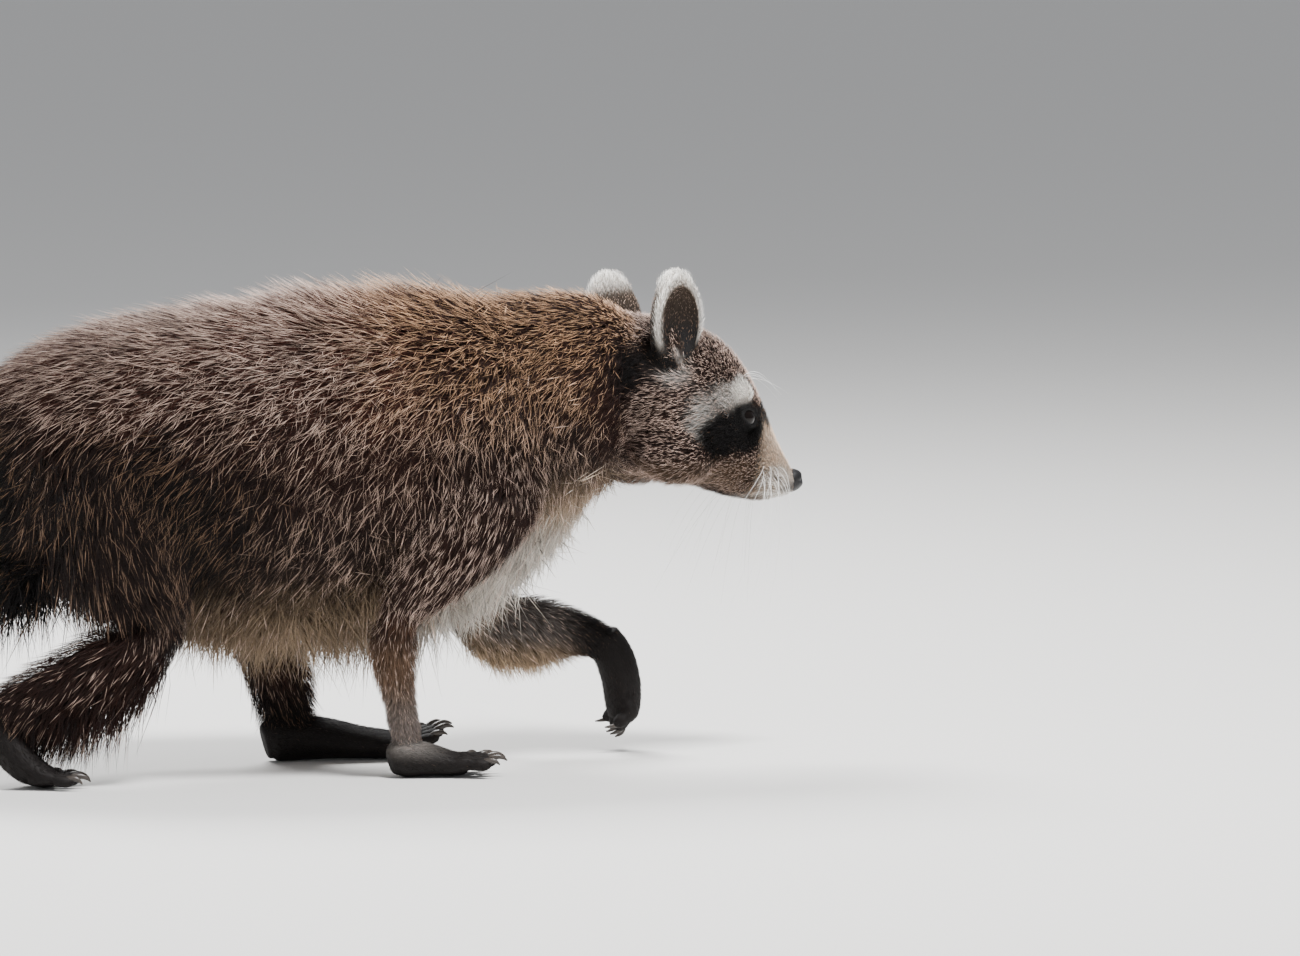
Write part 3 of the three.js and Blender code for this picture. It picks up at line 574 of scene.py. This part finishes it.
# ears: thick white rim, grey-brown back and cup, and black low on the ear, which in the hollow of the cup is painted
# shade
cup_reach, ear_out, ear_up = np.full(len(co), 9.0), np.zeros(len(co)), np.zeros(len(co))
for side in SIDES:
    back = np.array(ear_place(side).inverted())
    there = (co / MM) @ back[:3, :3].T + back[:3, 3]
    mine = is_part("ear_left" if side == 1 else "ear_right") > 0
    cup_reach[mine] = np.linalg.norm((there - CUP_AT * (1, side, 1)) / CUP_SIZE, axis=1)[mine]
    ear_out[mine], ear_up[mine] = side * there[mine, 1], there[mine, 2]
in_cup = ear_on * smooth_step(1.12, 1.05, cup_reach)
ear_rim = ear_on * (1 - in_cup) * np.maximum(
    smooth_step(1.42, 1.22, cup_reach) * smooth_step(-3, 0, ear_out) * smooth_step(-14, -4, ear_up),
    smooth_step(18, 26, ear_up))
white += 1.1 * ear_rim
buff += 0.15 * ear_on
# painted shade: black rises towards the root of the ear, darkening the low hollow of the cup
black += ear_on * (1 - ear_rim) * (0.35 + 0.65 * smooth_step(20, -6, ear_up))
tips = np.where(ear_on > 0, 0.2, tips) * (1 - 0.9 * np.clip(white, 0, 1))
tips *= 1 - 0.97 * np.clip(mask * head_on + behind_ear + 0.7 * collar + feet_on + 0.7 * to_hand, 0, 1)

skin_tones = relaxed(np.clip(np.stack([black, white, tan, buff, red, tips], 1), 0, 1), 2)


def set_vectors(mesh, name, values):
    attribute = mesh.attributes.new(name, "FLOAT_VECTOR", "POINT")
    attribute.data.foreach_set("vector", values.astype(np.float32).ravel())


set_vectors(skin.data, "dark_white_tan", skin_tones[:, :3])
set_vectors(skin.data, "buff_red_tips", skin_tones[:, 3:])


class Value:
    """A number in a material. Arithmetic on it adds Math nodes."""

    def __init__(self, finish, socket):
        self.finish = finish
        self.socket = socket

    def maths(self, operation, *values):
        return self.finish.node("ShaderNodeMath", {"operation": operation}, dict(enumerate(values)))

    def __add__(self, other):
        return self.maths("ADD", self, other)

    def __sub__(self, other):
        return self.maths("SUBTRACT", self, other)

    def __rsub__(self, other):
        return self.maths("SUBTRACT", other, self)

    def __mul__(self, other):
        return self.maths("MULTIPLY", self, other)

    __radd__, __rmul__ = __add__, __mul__


class Finish:
    """A material with its Principled shader, whose sockets that stay the same all over are given by name."""

    def __init__(self, name, **constants):
        self.material = bpy.data.materials.new(name)
        self.material.use_nodes = True
        self.tree = self.material.node_tree
        self.shader = self.tree.nodes["Principled BSDF"]
        for socket, value in constants.items():
            self.shader.inputs[socket.replace("_", " ")].default_value = value

    def node(self, kind, settings=None, values=None, output=0):
        """Adds a node, sets its settings and then its sockets, and returns one of its outputs."""
        node = self.tree.nodes.new(kind)
        for setting, value in (settings or {}).items():
            setattr(node, setting, value)
        for socket, value in (values or {}).items():
            self.feed(node.inputs[socket], value)
        return Value(self, node.outputs[output])

    def feed(self, socket, value):
        if isinstance(value, Value):
            self.tree.links.new(value.socket, socket)
        else:
            socket.default_value = value

    def set(self, socket, value):
        self.feed(self.shader.inputs[socket], value)

    def mix(self, share, first, second, blend="MIX"):
        """Mixes two colours."""
        settings = {"data_type": "RGBA", "blend_type": blend}
        return self.node("ShaderNodeMix", settings, {0: share, 6: first, 7: second}, output=2)

    def vector(self, name):
        """The three numbers of a vector attribute."""
        read = self.node("ShaderNodeAttribute", {"attribute_name": name}, output="Vector")
        split = self.node("ShaderNodeSeparateXYZ", None, {0: read}).socket.node
        return [Value(self, split.outputs[i]) for i in range(3)]

    def steps(self, value, low, high):
        """A smooth climb from 0 to 1 between two values."""
        settings = {"interpolation_type": "SMOOTHSTEP"}
        return self.node("ShaderNodeMapRange", settings, {"Value": value, "From Min": low, "From Max": high})

    def noise(self, scale, detail=3.0, output=0):
        """Noise over the object, with scale in features a metre."""
        place = self.node("ShaderNodeTexCoord", output="Object")
        values = {"Vector": place, "Scale": scale, "Detail": detail}
        return self.node("ShaderNodeTexNoise", None, values, output=output)


TONES = {
    "brown": (0.027, 0.0155, 0.0115, 1),
    "black": (0.004, 0.003, 0.003, 1),
    "white": (0.90, 0.87, 0.81, 1),
    "tan": (0.32, 0.155, 0.055, 1),
    "buff": (0.58, 0.42, 0.27, 1),
    "red": (0.070, 0.022, 0.013, 1),
    "cream": (0.84, 0.62, 0.51, 1),
    "gold": (0.80, 0.47, 0.25, 1),
    "straw": (0.24, 0.145, 0.09, 1),
}


def hair_tone(finish):
    """The colour of the hair at a place, the colour of its pale tips, and the share of hairs that have them."""
    black, white, tan = finish.vector("dark_white_tan")
    buff, red, tips = finish.vector("buff_red_tips")
    colour = finish.mix(red, TONES["brown"], TONES["red"])
    for share, tone in ((tan * 2 - 1, "tan"), (buff, "buff"), (black, "black"), (white, "white")):
        colour = finish.mix(share, colour, TONES[tone])
    pale = finish.mix(tan * 2, TONES["cream"], TONES["gold"])
    return colour, finish.mix(finish.steps(black, 0.4, 0.95), pale, TONES["straw"]), tips


hide = Finish("raccoon_skin", Roughness=0.7, Specular_IOR_Level=0.25)
tone, _, _ = hair_tone(hide)
mottle = hide.noise(900, 4)
hide.set("Base Color", hide.mix(1.0, tone, hide.mix(mottle, (0.25, 0.23, 0.22, 1), (0.75, 0.72, 0.7, 1)), "MULTIPLY"))
hide.set("Normal", hide.node("ShaderNodeBump", None, {
    "Strength": 0.5, "Distance": 0.0006, "Height": hide.noise(1400, 3)}))
skin.data.materials.append(hide.material)
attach(skin, "root")
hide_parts("head", "neck", "torso", "tail", *[
    f"{part}_{side}" for part in ("ear", "upper_arm", "forearm", "thigh", "shank", "forepaw", "hind_foot")
    for side in ("left", "right")])

# ---- Coat -------------------------------------------------------------------------------------------------
# The coat is fine tapered tufts, each a closed sliver rooted in the skin, that follow its lie, rise to its depth
# and draw together in small locks. They are longest on the trunk and tail, and smallest on the face and feet.
triangles = skin.data.loop_triangles
skin.data.calc_loop_triangles()
corners = np.empty(len(triangles) * 3, np.int32)
triangles.foreach_get("vertices", corners)
corners = corners.reshape(-1, 3)
skin_out = normals(skin.data)
middle_form = skin_form[corners[:, 0]]
middle = co[corners].mean(1) / MM
span = np.cross(co[corners[:, 1]] - co[corners[:, 0]], co[corners[:, 2]] - co[corners[:, 0]]) / MM**2
area = np.linalg.norm(span, axis=1) / 2

# Hair length and how much it stands, in millimetres. Hanging hair falls straight down, clear of the body.
seat = torso_on * smooth_step(-40, -90, x) * smooth_step(165, 130, z) + thighs_on * smooth_step(-40, -70, x)
trousers = np.clip(seat + is_part("shank_right") * below, 0, 1)
hang = trunk * np.maximum(0.9 * belly, 0.7 * chest * smooth_step(185, 145, z)) + 0.8 * throat
hang = np.clip(hang + 0.9 * fringe + 0.9 * trousers + 0.4 * shanks_on * below, 0, 1)
eye_gap = np.linalg.norm(face - EYE_AT, axis=1)
nose_gap = np.linalg.norm(face - np.array(NOSE_AT), axis=1)
length = 1.55 * skin_coat + 2
length = np.where(head_on > 0.5, 1.0 * skin_coat + 2.5, length)
length = np.where(ear_on > 0.5, 3.5 + 3.0 * ear_rim + 1.0 * in_cup, length)
length = np.where(feet_on > 0.5, 5.0, length)
length *= np.where(head_on > 0.5, 0.3 + 0.7 * smooth_step(9.5, 18, eye_gap), 1)
length *= np.where(head_on > 0.5, 0.45 + 0.55 * smooth_step(8, 26, nose_gap), 1)
length *= 1 - 0.45 * neck_on * smooth_step(250, 275, x)
crest = trunk * smooth_step(235, 258, z) * smooth_step(75, 110, x) * smooth_step(262, 215, x)
stand = np.minimum(skin_coat, 0.68 * length) * (1 + 0.3 * crest - 0.2 * grey)
stand = np.where(ear_on > 0.5, 1.5 + 4 * ear_rim - in_cup, stand)
bare = (eye_gap < EYE_RADIUS + 0.9) | ((hx > 88.5) & (nose_gap < 9.5))
hang, length, stand = (relaxed(v, 4)[:, 0] for v in (hang, length, stand))
length += relaxed(20 * trousers + 6 * trunk * belly + 12 * fringe, 4)[:, 0]
flank = relaxed(0.9 * trunk * smooth_step(245, 160, z) * smooth_step(-60, 60, x), 4)
down = np.array([0, 0, -1.0])
skin_lie = unit(unit(skin_lie + down * flank) * (1 - 0.8 * hang)[:, None] + down * hang[:, None])
surface = BVHTree.FromPolygons([Vector(p) for p in co], corners.tolist())

fur = Finish("raccoon_fur", Roughness=0.55, Specular_IOR_Level=0.2)
tone, tip_tone, tips = hair_tone(fur)
along, pick, shade = fur.vector("along_pick_shade")
banded = fur.steps(tips - pick, -0.04, 0.04)
white = fur.vector("dark_white_tan")[1]
colour = fur.mix(fur.steps(along, 0.75, 0.15) * (1 - white) * 0.8, tone, TONES["black"])
colour = fur.mix(fur.steps(along - shade * 0.14, 0.54, 0.72) * banded, colour, tip_tone)
bright = shade * 0.75 + 0.6
bright = bright * (fur.noise(45, 3) * 1.1 + 0.45)
level = fur.node("ShaderNodeCombineXYZ", None, {0: bright, 1: bright, 2: bright})
fur.set("Base Color", fur.mix(1.0, colour, level, "MULTIPLY"))

# A sliver has its root, sunk in the skin, three points round its waist and its tip. It is a little wider where the
# hair is longer.
SUNK, CLEAR_OF_FLOOR = 0.8 * MM, 0.3 * MM
WIDTH, WIDTH_PER_LENGTH = 0.24, 0.0105
LEAST_PULL, MOST_PULL = 0.3, 0.4
BOW = 0.07
WAIST = 0.42
SLIVER_SHARES = np.array([0, WAIST, WAIST, WAIST, 1])
SLIVER_FACES = np.array([(0, 2, 1), (0, 3, 2), (0, 1, 3), (4, 1, 2), (4, 2, 3), (4, 3, 1)])
PATCH = 0.003 * np.array([(0, 0), (-0.5, WAIST), (0.5, WAIST), (0, WAIST + 0.13), (0, 1)])


def coat(name, slot, chosen, count, seed, clump=14, pull=0.65, sway=0.2):
    """Grows so many tufts on the chosen triangles of the skin, as one piece."""
    chance = np.random.default_rng(seed)
    chosen = np.flatnonzero(chosen & ~bare[corners].any(1))
    hair = length[corners[chosen]].mean(1)
    crowd = area[chosen] / (hair + 6) ** 1.3 * (1 + 1.6 * (fringe + trousers)[corners[chosen, 0]])
    place = (np.arange(count) + chance.random(count)) / count
    pick = np.searchsorted(np.cumsum(crowd) / crowd.sum(), place).clip(0, len(chosen) - 1)
    ends = corners[chosen[pick]]
    a, b = chance.random((2, count))
    flip = a + b > 1
    a, b = np.where(flip, 1 - a, a), np.where(flip, 1 - b, b)
    weights = np.stack([1 - a - b, a, b], 1)

    def there(values):
        return np.einsum("nk,nk...->n...", weights, values[ends])

    root, out, lie = there(co), unit(there(skin_out)), there(skin_lie)
    tones = there(skin_tones)
    lie = lie + chance.normal(0, sway, (count, 3))
    free = there(hang)
    lie = lie - ((1 - 0.6 * free) * (lie * out).sum(1))[:, None] * out
    lie = unit(lie)
    draw = chance.random((count, 2))
    guard = draw[:, 0] < tones[:, 5]
    hair = there(length) * (0.7 + 0.6 * chance.random(count)) * MM
    rise = there(stand) * (0.5 + 0.48 * chance.random(count) + 0.1 * guard) * (1 - 0.6 * free) * MM
    wide = (WIDTH + WIDTH_PER_LENGTH * hair / MM) * (0.7 + 0.5 * chance.random(count) + 0.3 * guard) * MM
    flat = root + lie * hair[:, None]
    # the tip keeps to the curve of the body, unless the hair hangs free
    near = np.array([surface.find_nearest(Vector(p))[0] for p in flat])
    bend = (near - flat) * (1 - 0.85 * free)[:, None]
    tip = flat + bend + out * rise[:, None]
    leaders = chance.choice(count, max(count // clump, 1), replace=False)
    tree = KDTree(len(leaders))
    for i, leader in enumerate(leaders):
        tree.insert(root[leader], i)
    tree.balance()
    leader = leaders[[tree.find(p)[1] for p in root]]
    pull = pull * (LEAST_PULL + (1 - LEAST_PULL) * chance.random(count))
    bow = (hair * chance.normal(0, BOW, count))[:, None]
    drawn = (tip[leader] - tip) * pull[:, None]
    drawn *= np.minimum(1, MOST_PULL * hair / np.maximum(np.linalg.norm(drawn, axis=1), 1e-6))[:, None]
    across = unit(np.cross(out, lie))

    def centre(share):
        path = root + lie * (hair * share)[:, None] + out * (rise * share**0.75 - SUNK * (1 - share))[:, None]
        path = path + across * bow * 4 * share * (1 - share)
        return path + bend * share**2 + drawn * share**1.6

    waist, half = centre(WAIST), across * (wide / 2)[:, None]
    points = [centre(0.0), waist - half, waist + half, waist + out * (wide * 0.4)[:, None], centre(1.0)]
    points = np.stack(points, 1)
    points[..., 2] = np.maximum(points[..., 2], CLEAR_OF_FLOOR)
    each = len(SLIVER_SHARES)
    loops = (SLIVER_FACES + (np.arange(count) * each)[:, None, None]).reshape(-1)

    mesh = bpy.data.meshes.new(name)
    mesh.vertices.add(count * each)
    mesh.vertices.foreach_set("co", points.astype(np.float32).ravel())
    mesh.loops.add(len(loops))
    mesh.loops.foreach_set("vertex_index", loops.astype(np.int32))
    mesh.polygons.add(len(loops) // 3)
    mesh.polygons.foreach_set("loop_start", np.arange(0, len(loops), 3, dtype=np.int32))
    mesh.polygons.foreach_set("use_smooth", np.ones(len(loops) // 3, bool))

    hairs = np.empty((count, each, 3))
    hairs[..., 0] = SLIVER_SHARES
    hairs[..., 1:] = draw[:, None]
    set_vectors(mesh, "along_pick_shade", hairs)
    set_vectors(mesh, "dark_white_tan", np.repeat(tones[:, :3], each, 0))
    set_vectors(mesh, "buff_red_tips", np.repeat(tones[:, 3:], each, 0))

    # the unwrap: each form is a strip, with its length along it and the way round across it
    first = ends[:, 0]
    strips, strip = np.unique(skin_form[first], return_inverse=True)
    flat = np.stack([skin_share[first], skin_angle[first] / (2 * math.pi)], 1)
    flat += 0.004 * chance.normal(0, 1, flat.shape)
    low, high = flat.min(0), flat.max(0)
    flat = (flat - low) / (high - low) * 0.98 + 0.01
    flat[:, 1] = (flat[:, 1] + strip) / len(strips)
    flat = (flat[:, None] * 0.99 + PATCH).reshape(-1, 2)
    layer = mesh.uv_layers.new(name="OFBake")
    layer.data.foreach_set("uv", flat[loops].astype(np.float32).ravel())
    mesh.update()
    mesh.validate()

    piece = bpy.data.objects.new(name, mesh)
    bpy.context.collection.objects.link(piece)
    mesh.materials.append(fur.material)
    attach(piece, "root")


def on(*names):
    chosen = [i for i, part in enumerate(form_names) if part.startswith(names)]
    return np.isin(middle_form, chosen)


near_side = middle[:, 1] < 0
rear = middle[:, 0] < 55
coat("coat_rump_right", "fur", on("torso") & near_side & rear, 31000, 21, clump=11, sway=0.42)
coat("coat_rump_left", "fur", on("torso") & ~near_side & rear, 18500, 22, clump=11, sway=0.42)
coat("coat_barrel_right", "fur", on("torso") & near_side & ~rear, 31000, 23, clump=11, sway=0.5)
coat("coat_barrel_left", "fur", on("torso") & ~near_side & ~rear, 18500, 24, clump=11, sway=0.5)
coat("coat_neck", "fur", on("neck"), 19000, 25, clump=10, sway=0.42)
coat("coat_tail", "fur", on("tail"), 17000, 26)
coat("coat_upper_arms", "fur", on("upper_arm"), 16000, 27)
coat("coat_thighs", "fur", on("thigh"), 13000, 28)
coat("coat_lower_legs", "dark_fur", on("forearm", "shank"), 22000, 29, clump=9)
head_middle = to_head(middle * MM)
back_of_head = head_middle[:, 0] < 38
coat("coat_head", "fur", on("head") & back_of_head, 19000, 30, clump=8, pull=0.35)
coat("coat_face", "fur", on("head") & ~back_of_head, 22000, 31, clump=6, pull=0.2)
coat("coat_ears", "pale_fur", on("ear"), 10000, 32, clump=5, pull=0.3)
coat("coat_feet", "dark_fur", on("forepaw", "hind_foot") & (middle[:, 2] > 5), 13000, 33, clump=5, pull=0.3)

# ---- Eyes -------------------------------------------------------------------------------------------------
# Each eye is a dark brown, almost black ball with a slightly raised, wet cornea over the pupil.
eye_finish = Finish("raccoon_eye", Roughness=0.03, Specular_IOR_Level=0.2)
iris = eye_finish.noise(1500, 2)
eye_finish.set("Base Color", eye_finish.mix(iris, (0.001, 0.0008, 0.0008, 1), (0.006, 0.003, 0.002, 1)))
for side, name in ((1, "left"), (-1, "right")):
    bm = bmesh.new()
    turn = Matrix.Translation(EYE_AT * (1, side, 1)) @ Matrix.Rotation(side * EYE_YAW, 4, "Z")
    turn = turn @ Matrix.Rotation(math.pi / 2, 4, "Y") @ Matrix.Scale(EYE_RADIUS, 4)
    bmesh.ops.create_uvsphere(bm, u_segments=40, v_segments=28, radius=1)
    for vert in bm.verts:
        cornea = max(vert.co.z - 0.72, 0)
        vert.co.z += 0.35 * cornea
    bm.transform(Matrix.Scale(MM, 4) @ head_place @ turn)
    eye = made(bm, f"eye_ball_{name}")
    eye.data.materials.append(eye_finish.material)
    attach(eye, "root")
    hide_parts(f"eye_{name}")

# ---- Nose -------------------------------------------------------------------------------------------------
# The nose pad is bare, moist, pebbled black skin, with a comma-shaped nostril on each side and a groove down the
# middle to the upper lip.
bm = bmesh.new()
bmesh.ops.create_icosphere(bm, subdivisions=5, radius=1)
for vert in bm.verts:
    at = Vector(vert.co)
    px, py, pz = at.x * NOSE_SIZE[0], abs(at.y) * NOSE_SIZE[1], at.z * NOSE_SIZE[2]
    hole = math.exp(-((math.hypot(py - 4.0, pz - 0.6) / 2.0) ** 2)) * (px > 0)
    slit = math.exp(-(((py - 6.8) / 2.6) ** 2 + ((pz + 0.9) / 1.0) ** 2)) * (px > -3)
    groove = math.exp(-((py / 0.7) ** 2)) * (px > 0) * (pz < 2.5)
    wing = math.exp(-((math.hypot(py - 4.6, pz + 0.2) / 4.2) ** 2)) * (px > -2)
    depth = 1 + 0.12 * wing - 0.5 * hole - 0.28 * slit - 0.12 * groove
    top = 1 - 0.12 * max(at.z, 0) ** 2
    vert.co = Vector((px * depth, at.y * NOSE_SIZE[1] * (0.93 + 0.07 * depth), pz * top * (0.85 + 0.15 * depth)))
bm.transform(Matrix.Scale(MM, 4) @ head_place @ Matrix.Translation(NOSE_AT))
nose = made(bm, "nose_pad")
leather = Finish("nose_leather", Roughness=0.42, Specular_IOR_Level=0.3)
pebble = leather.node("ShaderNodeTexVoronoi", None, {
    "Vector": leather.node("ShaderNodeTexCoord", output="Object"), "Scale": 1500.0})
leather.set("Base Color", leather.mix(pebble, (0.003, 0.003, 0.003, 1), (0.010, 0.009, 0.010, 1)))
leather.set("Normal", leather.node("ShaderNodeBump", {"invert": True}, {
    "Strength": 0.6, "Distance": 0.0003, "Height": pebble}))
nose.data.materials.append(leather.material)
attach(nose, "root")
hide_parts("nose")

# ---- Claws ------------------------------------------------------------------------------------------------
# A short, curved, blunt claw of dark horn grows from the end of each toe and finger.
bm = bmesh.new()
for form in claw_forms:
    form.tube(bm, around=10, between=3, depth=1.0)
claws = made(bm, "claws")
points = places(claws.data)
points[:, 2] = np.maximum(points[:, 2], 0.2 * MM)
set_places(claws.data, points)
horn = Finish("claw_horn", Roughness=0.35, Specular_IOR_Level=0.5)
horn.set("Base Color", horn.mix(horn.noise(700, 4), (0.012, 0.010, 0.009, 1), (0.07, 0.055, 0.045, 1)))
claws.data.materials.append(horn.material)
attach(claws, "root")

# ---- Whiskers ---------------------------------------------------------------------------------------------
# Long, stiff white hairs spring from rows of roots on the whisker pads, and shorter ones from over the eyes. They
# start outwards, hang down under their own weight, further back from row to row, and taper to nothing.
chance = np.random.default_rng(7)
bm = bmesh.new()


def whisker(root, first, reach, thick):
    """Adds a hair in the head's frame from a root, by a first bend, to a tip, both reckoned from the root."""
    root, first, reach = (np.array(v, float) for v in (root, first, reach))
    turn = np.array(Vector(first + reach).to_track_quat("Z", "Y").to_matrix())

    def shape(share, angle, radius):
        share = share[:, None]
        line = root + 2 * share * (1 - share) * first + share**2 * reach
        out = np.cos(angle)[:, None] * turn[:, 0] + np.sin(angle)[:, None] * turn[:, 1]
        return line + thick * radius[:, None] * out

    add_tube(bm, 5, 12, shape, end=0.15)


for side in SIDES:
    for row in range(4):
        for column in range(4):
            root = (78 - 4.0 * column, side * (13 + 1.4 * column), -29.5 - 2.8 * row + 0.5 * column)
            first = (3 - 4 * column, side * (19 + 4 * column), 3 - 5 * row)
            a, b, c = chance.random(3)
            reach = (-3 - (9 + 7 * a) * column, side * (13 + 4 * column + 7 * b), -42 - 5 * row - 18 * c)
            whisker(root, first, reach, 0.15)
    for i in range(5):
        a, b, c = chance.random(3)
        root = (50 + 3 * a, side * (13 + 2 * i), 20 + i)
        whisker(root, (10, side * 3, 10 + 4 * b), (20 + 10 * c, side * (4 + 6 * a), -4 - 10 * b), 0.16)
bm.transform(Matrix.Scale(MM, 4) @ head_place)
whiskers = made(bm, "whiskers")
bristle = Finish("whisker_hair", Roughness=0.4, Specular_IOR_Level=0.4)
bristle.set("Base Color", bristle.mix(bristle.noise(120, 2), (0.8, 0.78, 0.74, 1), (0.95, 0.94, 0.92, 1)))
whiskers.data.materials.append(bristle.material)
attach(whiskers, "root")

# ---- Stage ------------------------------------------------------------------------------------------------
# A plain pale floor, with three broad, soft lights and an even surround. The camera is far off with a long lens, a
# little above the floor and ahead of the right flank.
bm = bmesh.new()
bmesh.ops.create_grid(bm, x_segments=1, y_segments=1, size=40)
floor = made(bm, "floor")
ground = Finish("floor_paint", Roughness=0.9)
ground.set("Base Color", (0.70, 0.69, 0.67, 1))
floor.data.materials.append(ground.material)

world = bpy.data.worlds.new("surround")
bpy.context.scene.world = world
world.use_nodes = True
world.node_tree.nodes["Background"].inputs["Color"].default_value = (0.78, 0.80, 0.84, 1)
world.node_tree.nodes["Background"].inputs["Strength"].default_value = 0.6


def soft_light(name, at, aim, size, power):
    light = bpy.data.lights.new(name, "AREA")
    light.size, light.energy = size, power
    lamp = bpy.data.objects.new(name, light)
    lamp.location = at
    lamp.rotation_euler = (Vector(aim) - Vector(at)).to_track_quat("-Z", "Y").to_euler()
    bpy.context.collection.objects.link(lamp)


MIDDLE = (0.1, 0, 0.15)
soft_light("key", (0.6, -1.0, 2.3), MIDDLE, 0.6, 132)
soft_light("fill", (-1.4, -1.8, 0.9), MIDDLE, 1.6, 8)
soft_light("rim", (-0.2, 1.4, 1.9), MIDDLE, 1.0, 100)

CAMERA_TURN, CAMERA_RISE, CAMERA_AWAY = math.radians(-14), math.radians(5), 6.0
PIXELS_A_METRE, PICTURE_WIDE = 1700, 1300
back = Vector((
    math.sin(CAMERA_TURN) * math.cos(CAMERA_RISE),
    -math.cos(CAMERA_TURN) * math.cos(CAMERA_RISE),
    math.sin(CAMERA_RISE)))
camera = bpy.data.objects.new("camera", bpy.data.cameras.new("camera"))
bpy.context.collection.objects.link(camera)
camera.data.sensor_width = 36
camera.data.lens = 36 * CAMERA_AWAY * PIXELS_A_METRE / PICTURE_WIDE
camera.data.clip_end = 100
camera.location = Vector((0.2789, -0.0387, 0.1714)) + back * CAMERA_AWAY
camera.rotation_euler = (-back).to_track_quat("-Z", "Y").to_euler()
bpy.context.scene.camera = camera
